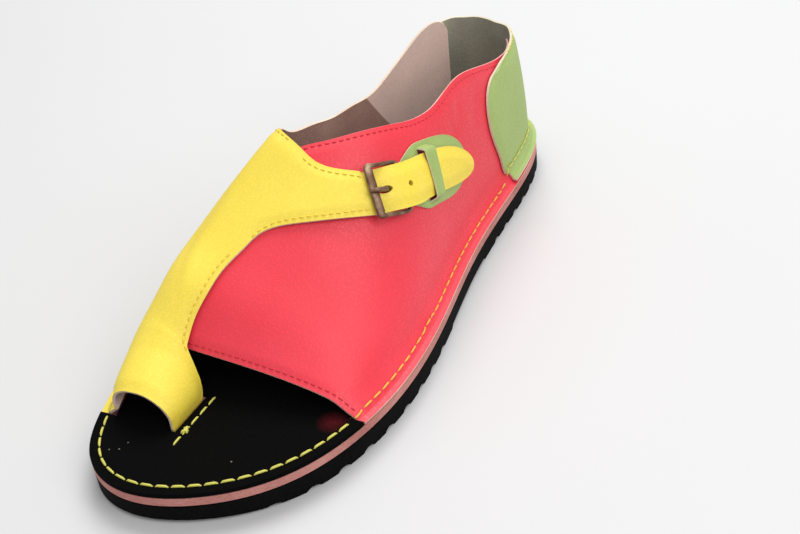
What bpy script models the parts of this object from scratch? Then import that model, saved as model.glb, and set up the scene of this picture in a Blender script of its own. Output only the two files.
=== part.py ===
"""Closed-heel sandal with a toe loop and one buckled instep strap, left foot.

Metres, +Z up. The sandal points along +X and its outer side is +Y. Every shape is
worked out with the back of the heel at x = 0 and is then moved so that the middle
of the sole stands over the origin.
"""
import math

import bpy
import bmesh
import numpy as np
from mathutils import Matrix, Vector

# Driving dimensions, metres
SOLE_LENGTH = 0.256
BALL_WIDTH = 0.0916
INSTEP_HEIGHT = 0.061
LUG_DEPTH = 0.0012
OUTSOLE_BASE = 0.0054
MIDSOLE_THICKNESS = 0.0030
INSOLE_THICKNESS = 0.0015
LEATHER = 0.0016
PATCH_LEATHER = 0.0013
SEAT_GAP = 0.0003
FLANGE_REACH = 0.0070
FILLET_RADIUS = 0.0046
FEATHER_EASE = 0.0050
LUG_PITCH = 0.0105
GROOVE_RADIUS = 0.0030
TOE_SPRING = 0.0016
STRAP_WIDTH = 0.0146
WIRE_RADIUS = 0.0009
PRONG_RADIUS = 0.0008
BUCKLE_LENGTH = 0.0112
BUCKLE_CORNER = 0.0018
STRAP_CLEARANCE = 0.0004
BUCKLE_SKEW = 0.08
TOE_SLIT_WIDTH = 0.0026
KEEPER_WIDTH = 0.0058
HOLE_RADIUS = 0.0012
HOLE_LENGTH = 0.0060
HOLE_ALONG = 0.0037
HOLE_PITCH = 0.0084
# Length of the strap's tapering end as a share of STRAP_HALF, the runs over which the strap
# rises to and falls from the buckle's hinge, and the prong's reach past the bar
STRAP_NOSE = 3.6
HINGE_FLAT = 0.002
HINGE_FALL = 0.009
PRONG_TIP = 0.0022
PRONG_DROP = 0.0005
# Buckle patch, measured along the strap from the buckle's bar
PATCH_CENTRE = 0.0369
PATCH_ROUND = 0.0210
PATCH_HALF_WIDTH = 0.0113
KEEPER_START = 0.0252
KEEPER_SLOPE = 0.0016
TAB_HALF_WIDTH = 0.0065
TAB_START = 0.0110
TAB_RUN = 0.0150
# Insole's clearance from the upper, and the depth over which the heel piece climbs
INSOLE_CLEARANCE = 0.0006
COUNTER_CLIMB = (0.004, 0.012)
# Tread, as shares of SOLE_LENGTH
HEEL_GROOVES = (0.040, 0.340)
FOREFOOT_GROOVES = (0.600, 0.935)
WAIST = (0.375, 0.560)
WAIST_SLOPE = 0.003
TOE_RUN = 0.115
# Places over which the inner piece climbs onto the vamp, the share of the big toe's arch
# that the vamp's inner edge reaches, and how much longer than the loop its slit is
LAP_START = -0.16
LAP_RUN = 0.14
ARCH_COVER = 0.65
SLIT_SPARE = 0.0016

# Sole outline of the left foot from the back of the heel along the outer side to the
# toe and back: station as a share of SOLE_LENGTH, breadth as a share of BALL_WIDTH.
OUTLINE = (
    (0.0000, 0.000), (0.0215, 0.186), (0.0762, 0.306), (0.1758, 0.366), (0.3125, 0.380),
    (0.4492, 0.406), (0.5859, 0.459), (0.7031, 0.480), (0.8008, 0.448), (0.8906, 0.353),
    (0.9609, 0.171), (1.0000, -0.120), (0.9727, -0.338), (0.8984, -0.456), (0.8027, -0.516),
    (0.7031, -0.498), (0.5859, -0.412), (0.4492, -0.328), (0.3125, -0.319), (0.1758, -0.338),
    (0.0770, -0.284), (0.0215, -0.172),
)

# Cross-sections of the last: station, ridge height as a share of INSTEP_HEIGHT, ridge
# breadth as a share of BALL_WIDTH, fullness of the outer side, fullness of the inner side.
SECTIONS = (
    (0.156, 1.570, 0.022, 1.75, 1.75),
    (0.313, 1.480, 0.000, 1.75, 1.80),
    (0.449, 1.250, -0.044, 1.75, 1.90),
    (0.559, 1.005, -0.105, 1.75, 2.30),
    (0.617, 0.835, -0.185, 1.72, 2.70),
    (0.684, 0.650, -0.250, 1.65, 3.00),
    (0.723, 0.560, -0.280, 1.55, 3.10),
    (0.762, 0.460, -0.294, 1.45, 3.10),
    (0.809, 0.260, -0.290, 1.30, 3.10),
    (0.918, 0.100, -0.284, 1.30, 3.10),
)
# The heel is a fan of ribs about the first section, and its centre lies this share back.
FAN_STATION = 0.156
FAN_REACH = 0.184

# Panel edges: a station, and a place on the rib there, which runs from 0 at the ridge to
# 1 at the feather line and 3 at the flange's rim, positive on the outer side.
# Outer quarter and vamp: rim station, top station, top place, heel to vamp front.
QUARTER_ROWS = (
    (0.050, 0.050, 0.590), (0.110, 0.110, 0.580), (0.175, 0.175, 0.557), (0.245, 0.245, 0.505),
    (0.306, 0.306, 0.455), (0.339, 0.339, 0.445), (0.372, 0.372, 0.442), (0.403, 0.403, 0.432),
    (0.440, 0.440, 0.395), (0.469, 0.469, 0.348), (0.525, 0.525, 0.232), (0.562, 0.562, 0.129),
    (0.585, 0.590, 0.050), (0.640, 0.645, 0.045), (0.700, 0.705, 0.050), (0.760, 0.765, 0.035),
    (0.790, 0.793, 0.038), (0.806, 0.8105, 0.052),
)
# Inner piece behind the strap's root: rim station, top station, top place.
INNER_REAR_ROWS = (
    (0.030, 0.030, -0.540), (0.070, 0.070, -0.548), (0.125, 0.125, -0.585), (0.193, 0.193, -0.632),
    (0.270, 0.270, -0.635), (0.344, 0.344, -0.565), (0.406, 0.406, -0.494), (0.455, 0.460, -0.400),
    (0.494, 0.504, -0.320), (0.520, 0.535, -0.200), (0.542, 0.560, -0.070), (0.560, 0.578, 0.100),
)
# Inner piece along the strap's root, from the collar to the notch.
INNER_ROOT_ROWS = ((0.560, 0.578, 0.100), (0.585, 0.609, 0.120), (0.615, 0.641, 0.140),
                   (0.645, 0.672, 0.156), (0.672, 0.701, 0.170))
# Inner piece from the notch to the vamp's front, where it lies on the vamp.
INNER_FRONT_ROWS = ((0.672, 0.701, 0.170), (0.696, 0.722, 0.154), (0.720, 0.742, 0.146),
                    (0.744, 0.762, 0.137), (0.770, 0.785, 0.114), (0.798, 0.811, 0.110))
# Toe loop from the vamp's front to its own front: rim station, top station, share of the
# arch over the big toe that the row covers.
LOOP_ROWS = (
    (0.8100, 0.8155, ARCH_COVER), (0.8190, 0.8205, 0.71), (0.8270, 0.8250, 0.79), (0.8345, 0.8280, 0.87),
    (0.8420, 0.8300, 0.94), (0.8490, 0.8345, 1.00), (0.8580, 0.8460, 1.00), (0.8690, 0.8620, 1.00),
    (0.8820, 0.8790, 1.00), (0.8960, 0.8960, 1.00),
)
# Strap between its root and the buckle: upper edge and lower edge, station and place
# each, and how far its flesh side has climbed from lying on the quarter to the buckle.
STRAP_ROWS = (
    ((0.583, 0.170), (0.680, 0.187), 0.00),
    ((0.582, 0.235), (0.662, 0.245), 0.20),
    ((0.574, 0.300), (0.641, 0.350), 0.50),
    ((0.566, 0.345), (0.618, 0.440), 0.75),
)
# Heel piece's front edges: distance from the heel's centre line as a share of SOLE_LENGTH
# and rib place, from the rim up. The inner side is lower, like the collar there.
COUNTER_OUTER = ((0.257, 3.0), (0.256, 1.9), (0.2565, 1.15), (0.276, 0.90), (0.294, 0.75), (0.288, 0.640),
                 (0.204, 0.562))
COUNTER_INNER = ((0.245, 3.0), (0.252, 1.9), (0.262, 1.15), (0.270, 0.92), (0.270, 0.83), (0.262, 0.760),
                 (0.215, 0.680))
COUNTER_TOP_CENTRE = 0.548
# Strap's centre line from the buckle's bar to its tip, as station and rib place.
STRAP_LINE = ((0.5765, 0.440), (0.5450, 0.497), (0.5040, 0.550), (0.4300, 0.646), (0.3570, 0.764))
# Big toe's arch: its height as shares of INSTEP_HEIGHT at the loop's front and per share
# of SOLE_LENGTH behind it, and its fullness.
ARCH_FRONT_HEIGHT = 0.205
ARCH_RISE = 1.80
ARCH_INNER_FULLNESS = 2.7
ARCH_OUTER_FULLNESS = 1.75
SLIT_BREADTH = -0.163
LOOP_FRONT = 0.896
LOOP_REAR = 0.829
VAMP_FRONT = 0.806

SOLE_TOP = LUG_DEPTH + OUTSOLE_BASE + SEAT_GAP + MIDSOLE_THICKNESS
UPPER_BASE = SOLE_TOP + SEAT_GAP
LAP = LEATHER + SEAT_GAP
STRAP_OVER_PATCH = LAP + PATCH_LEATHER + SEAT_GAP
HINGE_LIFT = STRAP_OVER_PATCH + WIRE_RADIUS
STRAP_OVER_HINGE = HINGE_LIFT + WIRE_RADIUS + SEAT_GAP
KEEPER_LIFT = STRAP_OVER_PATCH + LEATHER + SEAT_GAP
BAR_LIFT = KEEPER_LIFT + WIRE_RADIUS
STRAP_HALF = STRAP_WIDTH / 2
FAN_X = FAN_STATION * SOLE_LENGTH
HEEL_X = FAN_X - FAN_REACH * SOLE_LENGTH


def clear_scene():
    """Remove every object, then the collections that held them."""
    for obj in list(bpy.data.objects):
        bpy.data.objects.remove(obj, do_unlink=True)
    for collection in list(bpy.data.collections):
        bpy.data.collections.remove(collection)


def new_collection(name):
    collection = bpy.data.collections.new(name)
    bpy.context.scene.collection.children.link(collection)
    return collection


def material(name, colour, roughness, metallic=0.0):
    made = bpy.data.materials.new(name)
    made.use_nodes = True
    shader = made.node_tree.nodes["Principled BSDF"]
    shader.inputs["Base Color"].default_value = (*colour, 1.0)
    shader.inputs["Roughness"].default_value = roughness
    shader.inputs["Metallic"].default_value = metallic
    return made


def spline(knots, rows):
    """Natural cubic spline through rows of values, one row a knot."""
    knots = np.asarray(knots, float)
    rows = np.asarray(rows, float)
    count = len(knots)
    gaps = np.diff(knots)
    matrix = np.eye(count)
    right = np.zeros(rows.shape)
    for i in range(1, count - 1):
        matrix[i, i - 1] = gaps[i - 1]
        matrix[i, i] = 2 * (gaps[i - 1] + gaps[i])
        matrix[i, i + 1] = gaps[i]
        right[i] = 3 * ((rows[i + 1] - rows[i]) / gaps[i] - (rows[i] - rows[i - 1]) / gaps[i - 1])
    bend = np.linalg.solve(matrix, right)

    def value(at):
        i = int(np.clip(np.searchsorted(knots, at) - 1, 0, count - 2))
        step = at - knots[i]
        slope = (rows[i + 1] - rows[i]) / gaps[i] - gaps[i] * (2 * bend[i] + bend[i + 1]) / 3
        cubic = (bend[i + 1] - bend[i]) / (3 * gaps[i])
        return rows[i] + slope * step + bend[i] * step**2 + cubic * step**3

    return value


def chord_spline(rows):
    """Spline through rows of values, spaced by the square root of their chords, on 0 to 1."""
    rows = np.asarray(rows, float)
    chords = np.sqrt(np.linalg.norm(np.diff(rows, axis=0), axis=1) + 1e-9)
    knots = np.concatenate([[0.0], np.cumsum(chords)]) / np.sum(chords)
    return spline(knots, rows)


def smooth(share):
    """Ease from 0 to 1."""
    share = min(max(share, 0.0), 1.0)
    return share * share * (3 - 2 * share)


def closed_outline(points_between):
    """Sole outline as an array of (x, y), going round from the back of the heel."""
    rows = [(station * SOLE_LENGTH, breadth * BALL_WIDTH) for station, breadth in OUTLINE]
    around = rows[-3:] + rows + rows[:4]
    knots = [0.0]
    for here, there in zip(around, around[1:]):
        knots.append(knots[-1] + math.dist(here, there) ** 0.5)
    curve = spline(knots, around)
    points = []
    for i in range(3, 3 + len(rows)):
        for k in range(points_between):
            points.append(curve(knots[i] + (knots[i + 1] - knots[i]) * k / points_between))
    return np.array(points)


class Last:
    """The foot's form over the sole, read as ribs that stand across it."""

    RIB_STEPS = 181
    FILLET_STEPS = 13

    def __init__(self):
        self.outline = closed_outline(40)
        back = int(np.argmin(self.outline[:, 0]))
        turned = np.roll(self.outline, -back, axis=0)
        tip = int(np.argmax(turned[:, 0]))
        self.edges = {1: turned[:tip + 1], -1: turned[tip:][::-1]}
        self.section = spline([row[0] for row in SECTIONS], [row[1:] for row in SECTIONS])
        self.ribs = {}

    def edge_along(self, axis, way):
        """Distance from the axis to the sole's edge in one direction."""
        across = (self.outline - axis) @ np.array([-way[1], way[0]])
        along = (self.outline - axis) @ way
        across_next = np.roll(across, -1)
        along_next = np.roll(along, -1)
        meets = (across * across_next <= 0) & (along > 0) & (abs(across - across_next) > 1e-12)
        i = int(np.argmax(meets))
        share = across[i] / (across[i] - across_next[i])
        return along[i] + (along_next[i] - along[i]) * share

    def stance(self, side, x):
        """Axis point, outward direction, distance to the edge, height and fullness of a rib."""
        if x >= FAN_X:
            height, breadth, outer, inner = self.section(x / SOLE_LENGTH)
            axis = np.array([x, breadth * BALL_WIDTH])
            edge = self.edges[side]
            reach = side * (np.interp(x, edge[:, 0], edge[:, 1]) - axis[1])
            return axis, np.array([0.0, side]), reach, height, outer if side > 0 else inner
        height, breadth, outer, inner = self.section(FAN_STATION)
        turn = (FAN_X - x) / (FAN_X - HEEL_X) * math.pi / 2
        axis = np.array([FAN_X, breadth * BALL_WIDTH])
        way = np.array([-math.sin(turn), side * math.cos(turn)])
        own = outer if side > 0 else inner
        fullness = own + ((outer + inner) / 2 - own) * turn / (math.pi / 2)
        return axis, way, self.edge_along(axis, way), height, fullness

    def rib(self, side, x):
        """Axis, direction, places and (reach, height) points of the rib at a station."""
        key = (side, round(x, 7))
        if key in self.ribs:
            return self.ribs[key]
        axis, way, reach, height, fullness = self.stance(side, x)
        wall = reach - FLANGE_REACH
        rise = height * INSTEP_HEIGHT - FILLET_RADIUS
        angle = np.linspace(math.pi / 2, 0, self.RIB_STEPS)
        dome = np.stack([wall * np.cos(angle).clip(0) ** (2 / fullness),
                         FILLET_RADIUS + rise * np.sin(angle) ** (2 / fullness)], axis=1)
        sweep = np.linspace(0, math.pi / 2, self.FILLET_STEPS)
        fillet = np.stack([wall + FILLET_RADIUS * (1 - np.cos(sweep)),
                           FILLET_RADIUS * (1 - np.sin(sweep))], axis=1)
        rim = np.array([[wall + FILLET_RADIUS, 0.0], [reach, 0.0]])
        spreads = [self.spread(dome, 0), self.spread(fillet, 1)[1:], self.spread(rim, 2)[1:]]
        places = np.concatenate(spreads)
        points = self.eased(np.concatenate([dome, fillet[1:], rim[1:]]), places)
        found = (axis, way, places, points)
        self.ribs[key] = found
        return found

    @staticmethod
    def spread(points, start):
        """Places from start to start + 1 along a run of points, by length."""
        steps = np.concatenate([[0.0], np.cumsum(np.linalg.norm(np.diff(points, axis=0), axis=1))])
        return start + steps / steps[-1]

    @staticmethod
    def eased(points, places):
        """The same points with the turn at the feather line drawn out, rim and ridge kept."""
        length = np.concatenate([[0.0], np.cumsum(np.linalg.norm(np.diff(points, axis=0), axis=1))])
        window = np.minimum(FEATHER_EASE, length[-1] - length)
        window *= [smooth((place - 0.35) / 0.45) for place in places]
        total = np.zeros(points.shape)
        for shift in np.linspace(-1, 1, 9):
            for axis in (0, 1):
                total[:, axis] += np.interp(length + shift * window, length, points[:, axis])
        return total / 9

    def bare(self, x, place):
        side = 1 if place >= 0 else -1
        axis, way, places, points = self.rib(side, x)
        flat = axis + way * np.interp(abs(place), places, points[:, 0])
        return np.array([flat[0], flat[1], UPPER_BASE + np.interp(abs(place), places, points[:, 1])])

    def tangents(self, x, place):
        """Directions of growing station and growing place."""
        step_x = 0.0005
        step_place = 0.01
        low = max(place - step_place, -3.0)
        high = min(place + step_place, 3.0)
        along = (self.bare(x + step_x, place) - self.bare(x - step_x, place)) / (2 * step_x)
        across = (self.bare(x, high) - self.bare(x, low)) / (high - low)
        return along, across

    def normal(self, x, place):
        along, across = self.tangents(x, place)
        out = np.cross(along, across)
        return out / np.linalg.norm(out)

    def point(self, x, place, lift=0.0):
        """A point over the foot, lifted along the surface's normal."""
        return self.bare(x, place) + self.normal(x, place) * lift

    def beside(self, x, place, away):
        """Station and place reached from one spot by a small step away, a vector."""
        along, across = self.tangents(x, place)
        grid = np.stack([along, across], axis=1)
        step = np.linalg.lstsq(grid, away, rcond=None)[0]
        return x + step[0], place + step[1]


LAST = Last()


def mesh_object(name, points, faces, collection, finish):
    mesh = bpy.data.meshes.new(name)
    mesh.from_pydata([tuple(point) for point in points], [], faces)
    mesh.materials.append(finish)
    obj = bpy.data.objects.new(name, mesh)
    collection.objects.link(obj)
    obj.location = ORIGIN
    return obj


def leather(obj, thickness):
    """Give an open panel its wall, outward from the flesh side."""
    wall = obj.modifiers.new("wall", "SOLIDIFY")
    wall.thickness = thickness
    wall.offset = 1.0
    wall.use_quality_normals = True
    obj.data.shade_smooth()


def grid_faces(rows, columns, first=0):
    """Quads of a grid whose points are stored row by row."""
    faces = []
    for r in range(rows - 1):
        for c in range(columns - 1):
            at = first + r * columns + c
            faces.append((at, at + 1, at + columns + 1, at + columns))
    return faces


# Places of the rows' points on the flange and the fillet, from the rim inward.
FOOT_PLACES = (3.0, 2.0, 1.67, 1.33, 1.0)


def panel_row(side, rim_x, top_x, top_place, dome_steps, lift_at):
    """Points from the flange's rim up to a panel's edge. lift_at gives the lift at a place."""
    points = [LAST.point(rim_x, side * place, lift_at(side * place)) for place in FOOT_PLACES]
    for k in range(1, dome_steps + 1):
        share = k / dome_steps
        place = side + (top_place - side) * share
        points.append(LAST.point(rim_x + (top_x - rim_x) * smooth(share), place, lift_at(place)))
    return points


def row_values(table, count):
    """Even rows read from a table's spline."""
    curve = chord_spline(table)
    return [curve(i / (count - 1)) for i in range(count)]


def outer_quarter(collection, finish):
    """Outer quarter and vamp in one leather, from the heel to the open toe."""
    dome_steps = 11
    points = []
    rows = row_values(QUARTER_ROWS, 38)
    for rim, top, place in rows:
        points += panel_row(1, rim * SOLE_LENGTH, top * SOLE_LENGTH, place, dome_steps, lambda spot: 0.0)
    columns = len(FOOT_PLACES) + dome_steps
    faces = grid_faces(len(rows), columns)
    obj = mesh_object("quarter_outer", points, faces, collection, finish)
    leather(obj, LEATHER)
    return obj


def lap_lift(place):
    """The inner piece climbs onto the vamp just before the ridge."""
    return LAP * smooth((place - LAP_START) / LAP_RUN)


def arch_row(rim_x, top_x, cover, shares):
    """Points over the big toe from the inner feather line into the slit."""
    axis, _, reach = LAST.stance(-1, rim_x)[:3]
    inner = axis[1] - (reach - FLANGE_REACH)
    outer = SLIT_BREADTH * BALL_WIDTH
    middle = (inner + outer) / 2
    half = (outer - inner) / 2
    height = (ARCH_FRONT_HEIGHT + ARCH_RISE * (LOOP_FRONT - rim_x / SOLE_LENGTH)) * INSTEP_HEIGHT
    angle = np.linspace(0, math.pi, 121)
    power = np.where(angle < math.pi / 2, 2 / ARCH_INNER_FULLNESS, 2 / ARCH_OUTER_FULLNESS)
    swing = np.sign(np.cos(angle)) * abs(np.cos(angle)) ** power
    rise = np.sin(angle).clip(0) ** power
    bow = np.stack([middle - half * swing, FILLET_RADIUS + (height - FILLET_RADIUS) * rise], axis=1)
    bow = np.concatenate([bow, [[outer, 0.0]]])
    along = Last.spread(bow, 0)
    points = []
    for share in shares:
        points.append(np.array([rim_x + (top_x - rim_x) * smooth(share),
                                np.interp(cover * share, along, bow[:, 0]),
                                UPPER_BASE + np.interp(cover * share, along, bow[:, 1])]))
    return points


def inner_row(rim, top, place, arch_share, cover, dome_steps):
    """One row of the inner piece, part last and part arch over the big toe."""
    rim_x = rim * SOLE_LENGTH
    top_x = top * SOLE_LENGTH
    shares = [k / dome_steps for k in range(1, dome_steps + 1)]
    if arch_share >= 1.0:
        plain = [LAST.point(rim_x, -spot, 0.0) for spot in FOOT_PLACES]
        return plain + arch_row(rim_x, top_x, cover, shares)
    plain = panel_row(-1, rim_x, top_x, place, dome_steps, lap_lift)
    if arch_share <= 0.0:
        return plain
    feet = len(FOOT_PLACES)
    bow = arch_row(rim_x, top_x, cover, shares)
    drop = (plain[-1] - bow[-1]) * arch_share
    ease = np.array([0.0, 0.0, SEAT_GAP * arch_share])
    for k, (share, point) in enumerate(zip(shares, bow)):
        mixed = plain[feet + k] * (1 - arch_share) + point * arch_share
        plain[feet + k] = mixed + (drop + ease) * smooth((share - 0.4) / 0.6)
    return plain


class StrapLine:
    """The strap's centre line over the last, measured from the buckle's bar."""

    STEPS = 60

    def __init__(self):
        self.curve = chord_spline([(10 * station, place) for station, place in STRAP_LINE])
        self.shares = [i / self.STEPS for i in range(self.STEPS + 1)]
        spots = [LAST.bare(*self.spot(share)) for share in self.shares]
        steps = [math.dist(a, b) for a, b in zip(spots, spots[1:])]
        self.runs = [sum(steps[:i]) for i in range(self.STEPS + 1)]
        self.length = self.runs[-1]

    def spot(self, share):
        station, place = self.curve(share)
        return station / 10 * SOLE_LENGTH, place

    def at(self, along):
        """Station and place at a distance past the bar, and the sideways unit vector."""
        share = np.interp(along, self.runs, self.shares) if along > 0 else along / self.length
        ahead = LAST.bare(*self.spot(share + 0.02)) - LAST.bare(*self.spot(share - 0.02))
        x, place = self.spot(share)
        side = np.cross(LAST.normal(x, place), ahead)
        return x, place, side / np.linalg.norm(side)


STRAP = StrapLine()


def strap_spot(along, across):
    """Station and place beside the strap's centre line; along is 0 at the buckle's bar."""
    x, place, side = STRAP.at(along)
    return LAST.beside(x, place, side * across)


def strap_point(along, across, lift):
    return LAST.point(*strap_spot(along, across), lift)


def strap_lift(along):
    """Height of the strap's flesh side past the buckle's bar: down, over the hinge, down."""
    if along <= BUCKLE_LENGTH:
        share = smooth(along / (BUCKLE_LENGTH - HINGE_FLAT))
        return STRAP_OVER_PATCH + (STRAP_OVER_HINGE - STRAP_OVER_PATCH) * share
    share = smooth((along - BUCKLE_LENGTH - HINGE_FLAT) / HINGE_FALL)
    return STRAP_OVER_HINGE + (STRAP_OVER_PATCH - STRAP_OVER_HINGE) * share


def strap_columns(root_count):
    """Point columns of the strap after its root, each from the upper to the lower edge."""
    columns = []
    shares = [i / (root_count - 1) for i in range(root_count)]
    for upper, lower, climb in STRAP_ROWS:
        lift = LAP + (STRAP_OVER_PATCH - LAP) * climb
        column = []
        for share in shares:
            station = upper[0] + (lower[0] - upper[0]) * share
            place = upper[1] + (lower[1] - upper[1]) * share
            column.append(LAST.point(station * SOLE_LENGTH, place, lift))
        columns.append(column)
    nose = STRAP_NOSE * STRAP_HALF
    runs = [(STRAP.length - nose) * i / 15 for i in range(15)]
    widths = [STRAP_HALF] * 15
    for angle in np.linspace(0, math.radians(82), 7):
        runs.append(STRAP.length - nose * (1 - math.sin(angle)))
        widths.append(STRAP_HALF * math.cos(angle))
    for along, width in zip(runs, widths):
        column = []
        for share in shares:
            column.append(strap_point(along, width * (1 - 2 * share), strap_lift(along)))
        columns.append(column)
    return columns


def inner_piece(collection, finish, cutters):
    """Inner quarter, instep saddle, toe loop and strap, cut in one from one leather."""
    dome_steps = 11
    rows = []
    for values in row_values(INNER_REAR_ROWS, 19):
        rows.append((*values, 0.0, 1.0))
    root_first = len(rows) - 1
    for values in row_values(INNER_ROOT_ROWS, 9)[1:]:
        rows.append((*values, 0.0, 1.0))
    root_last = len(rows) - 1
    front = row_values(INNER_FRONT_ROWS, 10)[1:]
    for i, values in enumerate(front):
        rows.append((*values, 0.95 * smooth((i + 1) / len(front)), ARCH_COVER))
    for rim, top, cover in LOOP_ROWS:
        rows.append((rim, top, 0.0, 1.0, cover))
    points = []
    for row in rows:
        points += inner_row(*row, dome_steps)
    columns = len(FOOT_PLACES) + dome_steps
    faces = [face[::-1] for face in grid_faces(len(rows), columns)]
    root = [(r + 1) * columns - 1 for r in range(root_first, root_last + 1)]
    previous = root
    for column in strap_columns(len(root)):
        start = len(points)
        points += column
        current = list(range(start, start + len(column)))
        for i in range(len(current) - 1):
            faces.append((previous[i], previous[i + 1], current[i + 1], current[i]))
        previous = current
    obj = mesh_object("inner_piece", points, faces, collection, finish)
    leather(obj, LEATHER)
    cut(obj, strap_hole("prong_hole", HOLE_ALONG, HOLE_LENGTH, cutters))
    cut(obj, strap_hole("spare_hole", HOLE_ALONG + HOLE_PITCH, 2 * HOLE_RADIUS, cutters))
    return obj


def axes_at(along):
    """Rotation that stands Z along the surface normal and X along the strap."""
    x, place, side = STRAP.at(along)
    out = Vector(LAST.normal(x, place))
    across = Vector(side)
    forward = across.cross(out)
    return Matrix((forward, across, out)).transposed().to_4x4()


def strap_hole(name, along, length, cutters):
    """Cutter for a hole through the strap, stretched along it where the prong leans."""
    bpy.ops.mesh.primitive_cylinder_add(vertices=12, radius=HOLE_RADIUS, depth=0.012)
    hole = bpy.context.object
    hole.name = name
    stretch = length / (2 * HOLE_RADIUS)
    for vertex in hole.data.vertices:
        vertex.co.x *= stretch
    frame = axes_at(along)
    frame.translation = Vector(strap_point(along, 0.0, strap_lift(along))) + ORIGIN
    hole.matrix_world = frame
    as_cutter(hole, cutters)
    return hole


def as_cutter(obj, cutters):
    for holder in list(obj.users_collection):
        holder.objects.unlink(obj)
    cutters.objects.link(obj)
    obj.hide_render = True
    obj.display_type = "WIRE"


def cut(obj, cutter):
    modifier = obj.modifiers.new(cutter.name, "BOOLEAN")
    modifier.operation = "DIFFERENCE"
    modifier.object = cutter


def heel_counter(collection, finish):
    """Heel piece outside both quarters, wrapped round the back."""
    half_columns = 13
    dome_steps = 9
    columns = len(FOOT_PLACES) + dome_steps
    points = []
    for i in range(2 * half_columns + 1):
        share = (i - half_columns) / half_columns
        side = 1 if share >= 0 else -1
        front = COUNTER_OUTER if side > 0 else COUNTER_INNER
        curve = chord_spline([(10 * reach, place) for reach, place in front])
        spots = [curve(k / 400) for k in range(401)][::-1]
        top = COUNTER_TOP_CENTRE + (front[-1][1] - COUNTER_TOP_CENTRE) * abs(share) ** 1.5
        places = FOOT_PLACES + tuple(1 + (top - 1) * (k + 1) / dome_steps for k in range(dome_steps))
        for place in places:
            reach = np.interp(place, [spot[1] for spot in spots], [spot[0] / 10 for spot in spots])
            away = reach * SOLE_LENGTH * abs(share)
            start, end = COUNTER_CLIMB
            lift = (LAP + SEAT_GAP / 2) * smooth((away - start) / (end - start))
            points.append(LAST.point(HEEL_X + away, side * place, lift))
    faces = grid_faces(2 * half_columns + 1, columns)
    obj = mesh_object("heel_counter", points, faces, collection, finish)
    leather(obj, LEATHER)
    return obj


def slab(name, outline, bottom, thickness, collection, finish):
    """Flat piece from an outline, made as a filled curve and kept as a mesh."""
    curve = bpy.data.curves.new(name, "CURVE")
    curve.dimensions = "2D"
    curve.fill_mode = "BOTH"
    curve.extrude = thickness / 2
    run = curve.splines.new("POLY")
    run.points.add(len(outline) - 1)
    for point, (x, y) in zip(run.points, outline):
        point.co = (x, y, 0.0, 1.0)
    run.use_cyclic_u = True
    holder = bpy.data.objects.new(name + "_curve", curve)
    bpy.context.scene.collection.objects.link(holder)
    bpy.context.view_layer.update()
    evaluated = holder.evaluated_get(bpy.context.evaluated_depsgraph_get())
    mesh = bpy.data.meshes.new_from_object(evaluated)
    bpy.data.objects.remove(holder)
    work = bmesh.new()
    work.from_mesh(mesh)
    bmesh.ops.remove_doubles(work, verts=work.verts, dist=0.00001)
    bmesh.ops.dissolve_limit(work, angle_limit=0.001, verts=work.verts, edges=work.edges)
    bmesh.ops.recalc_face_normals(work, faces=work.faces)
    work.to_mesh(mesh)
    work.free()
    mesh.materials.clear()
    mesh.materials.append(finish)
    obj = bpy.data.objects.new(name, mesh)
    collection.objects.link(obj)
    obj.location = ORIGIN + Vector((0.0, 0.0, bottom + thickness / 2))
    return obj


def insole_outline():
    """Sole edge round the open toe, and the feather line under the upper."""
    outer_start = VAMP_FRONT * SOLE_LENGTH + INSOLE_CLEARANCE
    inner_start = LOOP_FRONT * SOLE_LENGTH + INSOLE_CLEARANCE
    points = []
    outline = closed_outline(5)
    for x, y in outline:
        if (y > 0 and x > outer_start) or (y <= 0 and x > inner_start):
            points.append((x, y))
    edge = LAST.edges
    first = (outer_start, float(np.interp(outer_start, edge[1][:, 0], edge[1][:, 1])))
    last = (inner_start, float(np.interp(inner_start, edge[-1][:, 0], edge[-1][:, 1])))
    points = [first] + points + [last]
    for side, start in ((-1, inner_start), (1, outer_start)):
        run = []
        stations = list(np.linspace(start, FAN_X, 20)) + list(np.linspace(FAN_X, HEEL_X, 12))[1:]
        for x in stations:
            axis, way, reach = LAST.stance(side, x)[:3]
            run.append(tuple(axis + way * (reach - FLANGE_REACH - INSOLE_CLEARANCE)))
        points += run if side < 0 else run[-2::-1]
    return points


def insole(collection, finish, cutters):
    bottom = SOLE_TOP + SEAT_GAP
    obj = slab("insole", insole_outline(), bottom, INSOLE_THICKNESS, collection, finish)
    length = (LOOP_FRONT - LOOP_REAR) * SOLE_LENGTH + SLIT_SPARE
    middle = (LOOP_FRONT + LOOP_REAR) / 2 * SOLE_LENGTH
    breadth = SLIT_BREADTH * BALL_WIDTH + LEATHER / 2
    bpy.ops.mesh.primitive_cube_add(size=1.0)
    slit = bpy.context.object
    slit.name = "slit"
    slit.scale = (length, TOE_SLIT_WIDTH, 6 * INSOLE_THICKNESS)
    slit.location = ORIGIN + Vector((middle, breadth, bottom))
    as_cutter(slit, cutters)
    cut(obj, slit)
    return obj


def grooves(span):
    """Stations of the grooves in one stretch of the tread."""
    first = span[0] * SOLE_LENGTH
    count = int((span[1] - span[0]) * SOLE_LENGTH / LUG_PITCH) + 1
    return [first + LUG_PITCH * i for i in range(count)]


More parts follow.
